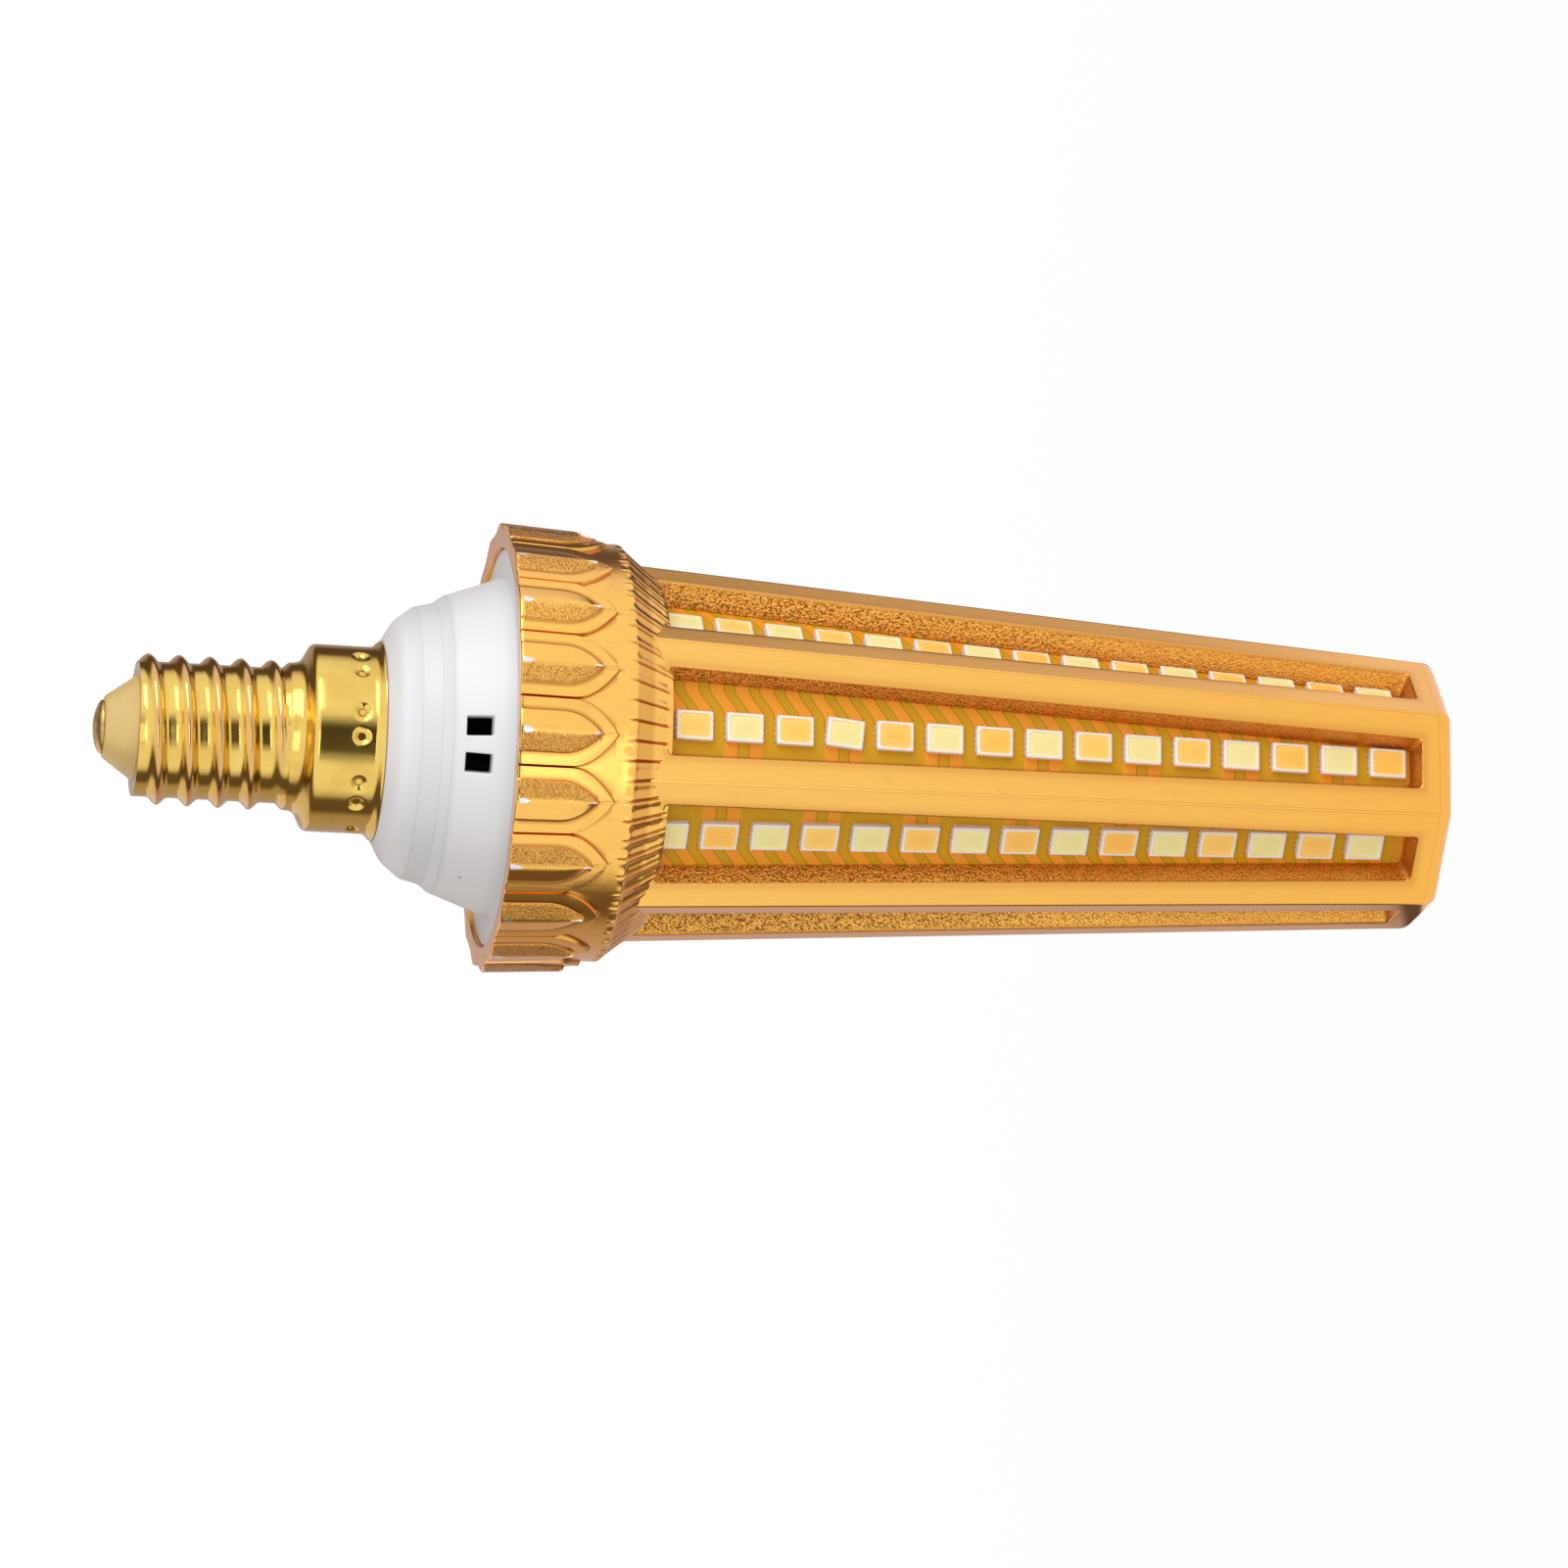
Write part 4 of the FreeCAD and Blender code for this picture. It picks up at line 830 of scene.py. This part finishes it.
sleeve, sleeve_marks, sleeve_ends = board_surface()
tab_outer = corner_radius(BOARD_HIGH) * math.cos(HALF_FACE) - BOARD_DEPTH
tab_loop = np.array([(-TAB_HALF, tab_outer - BOARD_THICK), (TAB_HALF, tab_outer - BOARD_THICK),
                     (TAB_HALF, tab_outer), (-TAB_HALF, tab_outer)])
tab = prism(tab_loop, BOARD_HIGH - BOARD_SINK, TAB_HIGH)
board = build("flex_board", [(sleeve, True, 0, sleeve_marks), (sleeve_ends[0][:, ::-1], False, 0, {}),
                             (sleeve_ends[1], False, 0, {}), (tab, True, 0, {"across": OFF_TRACKS})],
              [flex_material()], BOARD_MARKS)
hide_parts("led_board")


# LED chips: small white bodies with a bright frame round a pool of phosphor, soldered in one row
# behind each window. Warm orange and cool yellow ones take turns, and one of them sits crooked.
CHIP_LENGTH = 3.4
CHIP_WIDTH = 2.72
CHIP_THICK = 0.7
CHIP_SEAT = 0.02
CHIP_FRAME = 0.25
CHIP_POOL = 0.1
SOLDER_REACH = 0.2
SOLDER_HEIGHT = 0.3
SOLDER_BACK = 0.1
SOLDER_POINTS = 17
CROOKED = (0, 3)
CROOKED_ANGLE = -5.0
PHOSPHORS = (("warm", linear(255, 220, 128), linear(254, 192, 80)),
             ("cool", linear(246, 234, 172), linear(240, 226, 150)))


def chip_ring(inset, bend, out):
    """A loop of (across, along, out) points: an oblong whose corners are turned off at a bend radius."""
    turn = np.radians(np.array([0, 45, 90]))
    points = []
    for side, end, start in ((1, 1, 0), (-1, 1, 90), (-1, -1, 180), (1, -1, 270)):
        angle = turn + math.radians(start)
        across = side * (CHIP_WIDTH / 2 - inset - bend) + bend * np.cos(angle)
        along = end * (CHIP_LENGTH / 2 - inset - bend) + bend * np.sin(angle)
        points.append(np.stack([across, along, 0 * turn + out], -1))
    return np.concatenate(points)


def chip_foot(end):
    """The solder at one end of a chip: a low wedge whose reach swells into four pads."""
    across = np.linspace(-1, 1, SOLDER_POINTS) * CHIP_WIDTH * 0.42
    swell = np.abs(np.sin(np.linspace(0, 4 * math.pi, SOLDER_POINTS)))
    reach = SOLDER_REACH * (0.55 + 0.45 * swell) + SOLDER_BACK
    near = CHIP_LENGTH / 2 - SOLDER_BACK
    out = np.concatenate([across, across[::-1]])
    rings = []
    for scale, height in ((0.0, 0.0), (1.0, 0.0), (1.0, 0.12), (0.45, SOLDER_HEIGHT), (0.0, SOLDER_HEIGHT)):
        along = np.concatenate([near + reach * scale, np.full(SOLDER_POINTS, near)])
        rings.append(np.stack([out, end * along, 0 * out + height], -1))
    return rings if end < 0 else [ring[::-1] for ring in rings]


def chip_patches(face, index):
    """One chip: body from its foot over the frame, phosphor as a shallow dome in it, and solder."""
    body = [chip_ring(1.2, 0.1, 0), chip_ring(0.02, 0.06, 0), chip_ring(0, 0.08, 0.3),
            chip_ring(0.02, 0.08, CHIP_THICK - 0.06), chip_ring(0.09, 0.08, CHIP_THICK),
            chip_ring(CHIP_FRAME, 0.3, CHIP_THICK)]
    floor = CHIP_THICK - CHIP_POOL
    lens = [chip_ring(CHIP_FRAME, 0.3, CHIP_THICK), chip_ring(CHIP_FRAME + 0.07, 0.27, floor),
            chip_ring(0.85, 0.2, floor + 0.06), chip_ring(1.355, 0.0, floor + 0.08)]
    tilt = math.radians(CROOKED_ANGLE if (face, index) == CROOKED else 0)
    lean = math.atan(TAPER * math.cos(HALF_FACE))
    height = FIRST_CHIP + ROW_SHIFTS[face] - CHIP_PITCH * index
    mood = ((index * 7 + face * 5) % 11) / 22
    patches = []
    for paint, rings, tone in ((0, body, mood), (1, lens, mood + np.array([[0.0], [0.1], [0.45], [0.5]])),
                               (2, chip_foot(-1), 0.0), (2, chip_foot(1), 0.0)):
        side, end, rise = np.moveaxis(np.array(rings), -1, 0)
        across = side * math.cos(tilt) - end * math.sin(tilt) + row_offset(face, index)
        along = side * math.sin(tilt) + end * math.cos(tilt)
        out = rise * math.cos(lean) + along * math.sin(lean) + CHIP_SEAT
        away = corner_radius(height) * math.cos(HALF_FACE) - BOARD_DEPTH + out
        points = facing_points(away, across, 2 * HALF_FACE * face,
                               height + along * math.cos(lean) - rise * math.sin(lean))
        patches.append((points, True, paint, {"tone": tone}))
    return patches


def cloud_group():
    """Two close tones in soft clouds: noise, spread between two bounds, blends them."""
    kinds = {"Where": "Vector", "Scale": "Float", "Detail": "Float", "Low": "Float", "High": "Float",
             "First": "Color", "Second": "Color"}
    group, given, end = new_group("clouds", kinds, "Tone", "Color")
    cloud = noise(group, given["Where"], given["Scale"], given["Detail"])
    share = ramp(group, cloud, given["Low"], given["High"])
    feed(end, Tone=mix_colour(group, share, given["First"], given["Second"]))
    return group


def cloudy(tree, where, scale, detail, first, second, low=0.0, high=1.0):
    """The clouds placed in a material, with two colours given as 0 to 255 steps."""
    return place_group(tree, clouds, Where=where, Scale=scale, Detail=detail, Low=low, High=high,
                       First=linear(*first), Second=linear(*second))


def plain_material(name, first, second, scale, detail, rough, metal=0.0):
    """A finish of two close tones in clouds."""
    paint, tree, shader, where = new_material(name)
    feed(shader, Base_Color=cloudy(tree, where, scale, detail, first, second), Roughness=rough,
         Metallic=metal)
    return paint


def phosphor_material(name, plain, deep):
    """Phosphor in clear silicone: two yellows that change from chip to chip, with a fine grain and a faint
    painted glow, though the chips are unlit.
    """
    paint, tree, shader, where = new_material(name)
    share = math_node(tree, "MULTIPLY_ADD", noise(tree, where, 6000.0, 2.0), 0.35, mask_of(tree, "tone"))
    colour = mix_colour(tree, share, plain, deep)
    # The weak emission in the phosphor's own colour is a painted glow.
    feed(shader, Base_Color=colour, Roughness=0.25, Emission_Color=colour, Emission_Strength=0.12)
    return paint


clouds = cloud_group()
chip_body = plain_material("chip_body", (255, 250, 244), (246, 242, 240), 900.0, 2.0, 0.38)
solder = plain_material("solder", (252, 236, 206), (214, 190, 150), 4000.0, 2.0, 0.35, 0.6)
for start, (name, plain, deep) in enumerate(PHOSPHORS):
    patches = []
    for face in range(FACES):
        for index in range((face + start) % 2, ROW_CHIPS, 2):
            patches += chip_patches(face, index)
    paints = [chip_body, phosphor_material("led_" + name, plain, deep), solder]
    chips = build(name + "_chips", patches, paints, ("tone",))
    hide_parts(*[name + "_leds_row_{}".format(face + 1) for face in range(FACES)])


# White neck: one satin moulding from the flange in the collar's mouth up a long cone, over a step
# and a drum to a dome that carries the cap. Two oblong vents stand side by side in the cone.
SPIGOT_LOW = 80.6
SPIGOT_RADIUS = 16.7
SPIGOT_BORE = 15.3
SPIGOT_BORE_TOP = 84.7
FLANGE_TOP = 87.7
FLANGE_LOW = 86.2
FLANGE_RADIUS = 18.3
NECK_BASE_RADIUS = 15.65
NECK_BORE = 14.15
CONE_TOP = 93.2
CONE_TOP_RADIUS = 13.65
STEP_TOP = 94.1
STEP_RADIUS = 12.95
DRUM_TOP = 95.9
DRUM_RADIUS = 12.5
DRUM_BORE = 11.0
DRUM_BORE_LOW = 93.65
DRUM_BORE_TOP = 95.15
SHOULDER = 97.6
SHOULDER_RADIUS = 11.17
NECK_TOP = 98.7
DOME_RADIUS = 9.25
DOME_BORE = 7.75
STEM_RADIUS = 8.2
STEM_BORE = 6.0
STEM_LOW = 97.2
STEM_TOP = 104.3
# Painted shade: grey is laid in a narrow band round each of these bends of the outline, and on the flange's
# top in the collar's mouth.
FOLDS = ((NECK_BASE_RADIUS, FLANGE_TOP), (CONE_TOP_RADIUS, CONE_TOP), (STEP_RADIUS, STEP_TOP),
         (DRUM_RADIUS, DRUM_TOP), (DOME_RADIUS, NECK_TOP))
FOLD_REACH = 0.2
FOLD_SHADE = 0.34
FLANGE_SHADE = 0.2
VENT_ANGLE = math.radians(-14.25)
VENT_HALF_PITCH = math.radians(6.785)
VENT_MIDDLE = 90.93
VENT_LOW, VENT_HIGH = 88.9, 92.7
VENT_LENGTH = 2.45
VENT_WIDTH = 1.78
VENT_BEND = 0.16
VENT_COLUMNS = 12
VENT_ROWS = 8
NECK_COLUMNS = 180


def soft_path(corners, steps=5):
    """A path through (radius, height, bend) corners, each made a short curve of the bend's reach."""
    spots = []
    for index, (radius, height, bend) in enumerate(corners):
        here = np.array([radius, height])
        if bend == 0:
            spots.append(here[None])
            continue
        ends = []
        for other in (corners[index - 1], corners[(index + 1) % len(corners)]):
            away = np.array(other[:2]) - here
            ends.append(here + away / np.hypot(*away) * bend)
        share = np.linspace(0, 1, steps)[:, None]
        spots.append((1 - share) ** 2 * ends[0] + 2 * share * (1 - share) * here + share ** 2 * ends[1])
    return np.concatenate(spots)


def turned(path, angles):
    """Points of a path of (radius, height) turned round the axis to each angle."""
    return ring_points(path[:, :1], angles, path[:, 1:])


def cone_radius(height):
    """The outside of the neck's cone: its radius shrinks in step with the height."""
    share = (height - FLANGE_TOP) / (CONE_TOP - FLANGE_TOP)
    return NECK_BASE_RADIUS + (CONE_TOP_RADIUS - NECK_BASE_RADIUS) * share


def bore_radius(height):
    """The inside of the neck's cone, by height."""
    return NECK_BORE - (NECK_BORE - DRUM_BORE) * (height - FLANGE_LOW) / (DRUM_BORE_LOW - FLANGE_LOW)


def vent_hole(frame, centre, grow):
    """The vent's outline as (across, height), grown outwards, point for point with its frame."""
    share = np.stack([(frame[:, 0] - centre) / VENT_HALF_PITCH,
                      (frame[:, 1] - VENT_MIDDLE) / ((VENT_HIGH - VENT_LOW) / 2)], -1)
    share = np.clip(share, -1, 1)
    soft = np.clip(np.abs(share[:, 0] * share[:, 1]) - 0.75, 0, 1) * 0.35
    across = share[:, 0] * (VENT_WIDTH / 2 + grow) * (1 - soft * 0.25)
    return across, VENT_MIDDLE + share[:, 1] * (VENT_LENGTH / 2 + grow) * (1 - soft * 0.2)


def vent_rings(centre, rows):
    """The rings from a vent's frame in the cone to its edge, and straight through to the bore."""
    step = VENT_HALF_PITCH / (VENT_COLUMNS / 2)
    right, left = centre + VENT_HALF_PITCH, centre - VENT_HALF_PITCH
    frame = np.array([(right, z) for z in rows[:-1]]
                     + [(right - step * k, VENT_HIGH) for k in range(VENT_COLUMNS)]
                     + [(left, z) for z in rows[:0:-1]]
                     + [(left + step * k, VENT_LOW) for k in range(VENT_COLUMNS)])
    rings = [ring_points(cone_radius(frame[:, 1]), frame[:, 0], frame[:, 1])]
    across, height = vent_hole(frame, centre, VENT_BEND)
    hole = np.stack([centre + np.arcsin(across / cone_radius(height)), height], -1)
    for share in (0.35, 0.7):
        angle, height = (frame + (hole - frame) * share).T
        rings.append(ring_points(cone_radius(height), angle, height))
    for grow, sink in ((VENT_BEND, 0.0), (0.08, 0.015), (0.03, 0.06), (0.0, 0.14), (0.0, 0.6), (0.0, 1.9)):
        across, height = vent_hole(frame, centre, grow)
        out = np.sqrt(cone_radius(height) ** 2 - across ** 2) - sink
        rings.append(facing_points(out, across, centre, height))
    rings.append(ring_points(bore_radius(frame[:, 1]), frame[:, 0], frame[:, 1]))
    return np.array(rings)


def neck_patches():
    """The turned neck without the two cells of its vents, and the rings that fill those cells."""
    rows = np.linspace(VENT_LOW, VENT_HIGH, VENT_ROWS + 1)
    outline = soft_path([(SPIGOT_BORE, SPIGOT_LOW, 0), (SPIGOT_RADIUS, SPIGOT_LOW, 0.12),
                         (SPIGOT_RADIUS, FLANGE_LOW, 0), (FLANGE_RADIUS, FLANGE_LOW, 0.1),
                         (FLANGE_RADIUS, FLANGE_TOP, 0.1), (NECK_BASE_RADIUS, FLANGE_TOP, 0.12)]
                        + [(cone_radius(z), z, 0) for z in rows]
                        + [(CONE_TOP_RADIUS, CONE_TOP, 0.13), (STEP_RADIUS, STEP_TOP, 0.15),
                           (DRUM_RADIUS, DRUM_TOP, 0.15), (SHOULDER_RADIUS, SHOULDER, 0.5),
                           (DOME_RADIUS, NECK_TOP, 0.2), (STEM_RADIUS, NECK_TOP, 0),
                           (STEM_RADIUS, STEM_TOP, 0.2), (STEM_BORE, STEM_TOP, 0), (STEM_BORE, STEM_LOW, 0),
                           (DOME_BORE, STEM_LOW, 0), (DRUM_BORE, DRUM_BORE_TOP, 0),
                           (DRUM_BORE, DRUM_BORE_LOW, 0)]
                        + [(bore_radius(z), z, 0) for z in rows[::-1]]
                        + [(NECK_BORE, FLANGE_LOW, 0), (SPIGOT_BORE, SPIGOT_BORE_TOP, 0)])
    corners = ((cone_radius(VENT_LOW), VENT_LOW), (bore_radius(VENT_HIGH), VENT_HIGH))
    first, last = [int(np.argmin(np.abs(outline - corner).sum(1))) for corner in corners]
    reach = 2 * VENT_HALF_PITCH
    vents = np.linspace(VENT_ANGLE - reach, VENT_ANGLE + reach, 2 * VENT_COLUMNS + 1)
    angles = np.concatenate([vents, np.linspace(vents[-1], vents[0] + 2 * math.pi, NECK_COLUMNS)[1:-1]])
    closed = turned(np.concatenate([outline, outline[:1]]), angles)
    patches = []
    for part in (closed[:first + 1], closed[first + VENT_ROWS:last + 1], closed[last + VENT_ROWS:]):
        radius, height = np.hypot(part[..., 0], part[..., 1]), part[..., 2]
        # Painted shade: grey on the flange's top and along the bends of the outline.
        flange = (np.abs(height - FLANGE_TOP) < 0.12) & (radius > NECK_BASE_RADIUS + 0.1)
        fold_shade = FLANGE_SHADE * flange
        for far, level in FOLDS:
            near = np.clip(1.2 - np.hypot(radius - far, height - level) / FOLD_REACH, 0, 1)
            fold_shade = np.maximum(fold_shade, FOLD_SHADE * near)
        patches.append((part, True, 0, {"fold_shade": fold_shade}))
    wide = np.concatenate([closed[:, 2 * VENT_COLUMNS:], closed[:, :1]], 1)
    patches += [(wide[start:start + VENT_ROWS + 1], False, 0, {}) for start in (first, last)]
    patches += [(vent_rings(VENT_ANGLE + side * VENT_HALF_PITCH, rows), True, 0, {}) for side in (-1, 1)]
    return patches


def relief_group():
    """A fine relief: noise as the height of a bump."""
    kinds = {"Where": "Vector", "Scale": "Float", "Detail": "Float", "Strength": "Float",
             "Distance": "Float"}
    group, given, end = new_group("fine_relief", kinds, "Normal", "Vector")
    bump = add(group, "Bump", Height=noise(group, given["Where"], given["Scale"], given["Detail"]),
               Strength=given["Strength"], Distance=given["Distance"])
    feed(end, Normal=bump.outputs[0])
    return group


def plastic_material():
    """Satin white plastic: faint clouds, a very fine grain, painted grey shade at the outline's bends and on
    the flange, and a few dark specks.
    """
    paint, tree, shader, where = new_material("white_plastic")
    dots = add(tree, "TexVoronoi", Vector=where, Scale=190.0).outputs["Distance"]
    colour = layered(tree, cloudy(tree, where, 70.0, 3.0, (226, 227, 231), (232, 231, 233)),
                     (ramp(tree, dots, 0.035, 0.05, 0.5, 0.0), linear(120, 110, 104)),
                     (mask_of(tree, "fold_shade"), linear(170, 172, 178)))
    feed(shader, Base_Color=colour, Roughness=0.36,
         Normal=place_group(tree, fine_relief, Where=where, Scale=2600.0, Detail=3.0, Strength=0.12,
                            Distance=0.05 * MM))
    return paint


fine_relief = relief_group()
neck = build("neck", neck_patches(), [plastic_material()], ("fold_shade",), sharp=60.0)
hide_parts("neck_housing")


# Screw cap: thin bright brass, pressed and rolled. A flared rim, a skirt with eight pairs of punched
# dimples, a shoulder and throat, and an E14 thread with narrow round crests and wide hollows.
CAP_METAL = 0.35
CAP_RIM_RADIUS = 9.2
SKIRT_RADIUS = 8.6
SKIRT_INSIDE = 8.24
SKIRT_TOP = 105.1
SHOULDER_TOP = 106.0
THROAT_RADIUS = 6.75
THROAT_TOP = 107.1
THREAD_TUBE_RADIUS = 6.2
THREAD_TUBE_INSIDE = 5.85
CAP_END = 120.9
LIP_RADIUS = 4.9
THREAD_PITCH = 2.822
THREAD_START = 108.1
THREAD_TURNS = 4.3
THREAD_RISE = 0.7
THREAD_WIDTH = 1.02
CRIMP_PAIRS = 8
CRIMP_ANGLE = -5.0
CRIMP_SPREAD = 15.5
CRIMP_HEIGHT = 100.9
CRIMP_RADIUS = 0.95
CRIMP_DEPTH = 0.42
HOLE_RADIUS = 0.36
HOLE_EDGE = 0.14
HOLE_DEPTH = 0.12
CAP_COLUMNS = 384


def round_angles(count):
    """Evenly spaced bearings round the axis."""
    return np.linspace(0, 2 * math.pi, count + 1)[:-1]


def thread_ridge(turn, height):
    """The thread's rise, 0 to 1: a raised cosine across the ridge, which climbs with the bearing."""
    ridge = 0 * height
    for lap in range(-1, 6):
        along = lap + turn
        off = height - (THREAD_START + THREAD_PITCH * along)
        lift = np.where(np.abs(off) < THREAD_WIDTH, 0.5 + 0.5 * np.cos(math.pi * off / THREAD_WIDTH), 0)
        fade = np.clip((along + 0.28) / 0.25, 0, 1) * np.clip((THREAD_TURNS + 0.25 - along) / 0.3, 0, 1)
        ridge = np.maximum(ridge, lift * eased(fade))
    return ridge


def cap_surface():
    """The cap's outside: its turned outline, plus the thread's ridge, less dimples and their holes."""
    path = soft_path([(CAP_RIM_RADIUS, NECK_TOP + 0.08, 0), (CAP_RIM_RADIUS - 0.08, NECK_TOP + 0.24, 0.1),
                      (SKIRT_RADIUS, NECK_TOP + 0.75, 0.3)]
                     + [(SKIRT_RADIUS, z, 0) for z in (*np.arange(99.85, 102.0, 0.09), 102.4, 103.2, 104.0)]
                     + [(SKIRT_RADIUS, SKIRT_TOP, 0.45), (THROAT_RADIUS + 0.1, SHOULDER_TOP, 0.55),
                        (THROAT_RADIUS, THROAT_TOP, 0.2)]
                     + [(THREAD_TUBE_RADIUS, z, 0)
                        for z in np.arange(THROAT_TOP + 0.6, CAP_END - 0.25, 0.16)]
                     + [(THREAD_TUBE_RADIUS, CAP_END, 0.22), (LIP_RADIUS, CAP_END, 0)])
    angles = round_angles(CAP_COLUMNS)
    radius, level = path[:, :1] + 0 * angles, path[:, 1:]
    height = level + 0 * angles
    threaded = (level > SHOULDER_TOP) & (level < CAP_END - 0.01)
    ridge = thread_ridge(angles / (2 * math.pi), height)
    radius = np.where(threaded, np.maximum(radius, THREAD_TUBE_RADIUS + THREAD_RISE * ridge), radius)
    hole, dent = 0 * radius, 0 * radius
    for place in range(2 * CRIMP_PAIRS):
        bearing = 360 / CRIMP_PAIRS * (place // 2) + (place % 2 - 0.5) * CRIMP_SPREAD
        centre = math.radians(CRIMP_ANGLE + bearing)
        swing = np.angle(np.exp(1j * (angles - centre))) * SKIRT_RADIUS
        away = np.hypot(swing, height - CRIMP_HEIGHT)
        dent = np.maximum(dent, eased(np.clip(1 - away / CRIMP_RADIUS, 0, 1)))
        hole = np.maximum(hole, np.clip((HOLE_RADIUS - away) / HOLE_EDGE, 0, 1))
    skirt = (level < SKIRT_TOP) & (level > NECK_TOP + 0.5)
    radius = np.where(skirt, radius - CRIMP_DEPTH * dent - HOLE_DEPTH * hole, radius)
    inside = [(LIP_RADIUS, CAP_END), (LIP_RADIUS, CAP_END - CAP_METAL),
              (THREAD_TUBE_INSIDE, CAP_END - CAP_METAL), (THREAD_TUBE_INSIDE, THROAT_TOP),
              (6.4, SHOULDER_TOP), (SKIRT_INSIDE, SKIRT_TOP - 0.4), (SKIRT_INSIDE, NECK_TOP),
              (CAP_RIM_RADIUS - 0.1, NECK_TOP), (CAP_RIM_RADIUS, NECK_TOP + 0.08)]
    masks = {"hole": hole * skirt, "crest": ridge * threaded}
    return [(ring_points(radius, angles, height), True, 0, masks),
            (turned(np.array(inside), angles), True, 0, {})]


def brass_material():
    """Bright brass: a painted browner reflection where seen aslant, smeared, coppery on the crests, with
    grey holes in dark rings of painted shade.
    """
    paint, tree, shader, where = new_material("cap_brass")
    hole, crest = mask_of(tree, "hole"), mask_of(tree, "crest")
    smear = noise(tree, where, 240.0, 5.0, 0.65)
    aslant = add(tree, "LayerWeight", Blend=0.5).outputs["Facing"]
    colour = layered(tree, linear(242, 208, 112),
                     (ramp(tree, smear, 0.4, 0.75, 0.0, 0.5), linear(206, 156, 68)),
                     # Painted reflection: browner where seen aslant.
                     (ramp(tree, aslant, 0.3, 0.85, 0.0, 0.75), linear(170, 124, 60)),
                     (ramp(tree, crest, 0.55, 1.0, 0.0, 0.6), linear(214, 160, 118)),
                     # Painted shade: a dark ring round each punched hole.
                     (ramp(tree, hole, 0.05, 0.35), linear(70, 48, 24)),
                     (ramp(tree, hole, 0.7, 0.85), linear(168, 168, 172)))
    feed(shader, Base_Color=colour, Metallic=1.0,
         Roughness=math_node(tree, "MULTIPLY_ADD", smear, 0.14, 0.07),
         Normal=place_group(tree, fine_relief, Where=where, Scale=2400.0, Detail=3.0, Strength=0.1,
                            Distance=0.04 * MM))
    return paint


cap = build("cap", cap_surface(), [brass_material()], ("hole", "crest"), 50.0)
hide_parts("screw_cap")


# Insulator and contact: a cream cone in the end of the cap, with a dull brass rivet head on its tip
# that touches the lampholder's spring.
INSULATOR_TIP = 123.8
INSULATOR_TIP_RADIUS = 2.8
INSULATOR_LOW = 119.1
INSULATOR_STEP = 120.5
INSULATOR_RADIUS = 5.8
INSULATOR_NECK = 4.85
INSULATOR_BORE = 0.83
CONTACT_RADIUS = 2.45
CONTACT_SEAT = 124.0
CONTACT_RISE = 0.7
STEM_HALF = 0.8
STEM_END = 118.3
TIP_COLUMNS = 96


def cream_material():
    """Cream insulator: cloudy, with a soft uneven sheen."""
    paint, tree, shader, where = new_material("insulator_cream")
    feed(shader, Roughness=0.35,
         Base_Color=cloudy(tree, where, 260.0, 4.0, (226, 192, 118), (208, 178, 116), 0.3, 0.7),
         Normal=place_group(tree, fine_relief, Where=where, Scale=260.0, Detail=4.0, Strength=0.15,
                            Distance=0.1 * MM))
    return paint


def contact_material():
    """Dull brass with brown stains."""
    paint, tree, shader, where = new_material("contact_brass")
    feed(shader, Metallic=1.0, Roughness=0.33,
         Base_Color=cloudy(tree, where, 900.0, 4.0, (226, 192, 120), (186, 146, 96), 0.4, 0.65))
    return paint


insulator_path = soft_path([(INSULATOR_BORE, INSULATOR_LOW, 0), (INSULATOR_RADIUS, INSULATOR_LOW, 0),
                            (INSULATOR_RADIUS, INSULATOR_STEP, 0), (INSULATOR_NECK, INSULATOR_STEP, 0),
                            (INSULATOR_NECK, CAP_END + 0.02, 0.15),
                            (INSULATOR_TIP_RADIUS, INSULATOR_TIP, 0.25), (INSULATOR_BORE, INSULATOR_TIP, 0),
                            (INSULATOR_BORE, INSULATOR_LOW, 0)])
crown = np.linspace(CONTACT_RADIUS - 0.05, 0, 10)
dome = CONTACT_SEAT + CONTACT_RISE * (1 - (crown / CONTACT_RADIUS) ** 2) ** 0.7
contact_path = np.concatenate([[(0, STEM_END), (STEM_HALF, STEM_END), (STEM_HALF, INSULATOR_TIP),
                                (CONTACT_RADIUS - 0.04, INSULATOR_TIP),
                                (CONTACT_RADIUS, INSULATOR_TIP + 0.04),
                                (CONTACT_RADIUS, CONTACT_SEAT - 0.04)], np.stack([crown, dome], -1)])
insulator = build("insulator", [(turned(insulator_path, round_angles(TIP_COLUMNS)), True, 0, {})],
                  [cream_material()], (), 60.0)
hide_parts("cap_insulator")
contact = build("contact", [(turned(contact_path, round_angles(TIP_COLUMNS)), True, 0, {})],
                [contact_material()], (), 50.0)
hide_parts("centre_contact")


# Inside the lamp: the former, the driver board with its parts and the leads, all as they were built,
# each with its own finish. They show only through the vents.
FINISHES = {
    "former_grey": ((196, 196, 198), (208, 206, 204), 300.0, 0.5, ("board_core",)),
    "circuit_green": ((40, 92, 52), (30, 76, 42), 900.0, 0.35, ("driver_board",)),
    "can_sleeve": ((38, 38, 46), (54, 54, 64), 500.0, 0.3, ("smoothing_capacitor",)),
    "ferrite": ((64, 62, 62), (150, 84, 44), 1400.0, 0.5, ("inductor",)),
    "black_epoxy": ((30, 30, 32), (44, 44, 46), 1500.0, 0.5, ("bridge_rectifier", "driver_chip")),
    "resistor_coat": ((92, 128, 160), (76, 112, 146), 800.0, 0.45, ("fuse_resistor",)),
    "lead_red": ((196, 30, 26), (176, 24, 22), 500.0, 0.35, ("live_lead", "positive_led_lead")),
    "lead_black": ((34, 34, 36), (48, 48, 50), 500.0, 0.35, ("neutral_lead", "negative_led_lead")),
}
for slot_name, (first, second, scale, rough, nodes) in FINISHES.items():
    paint = plain_material(slot_name, first, second, scale, 4.0, rough)
    for node in nodes:
        part = frame["nodes"][node]
        part.data.materials.clear()
        part.data.materials.append(paint)
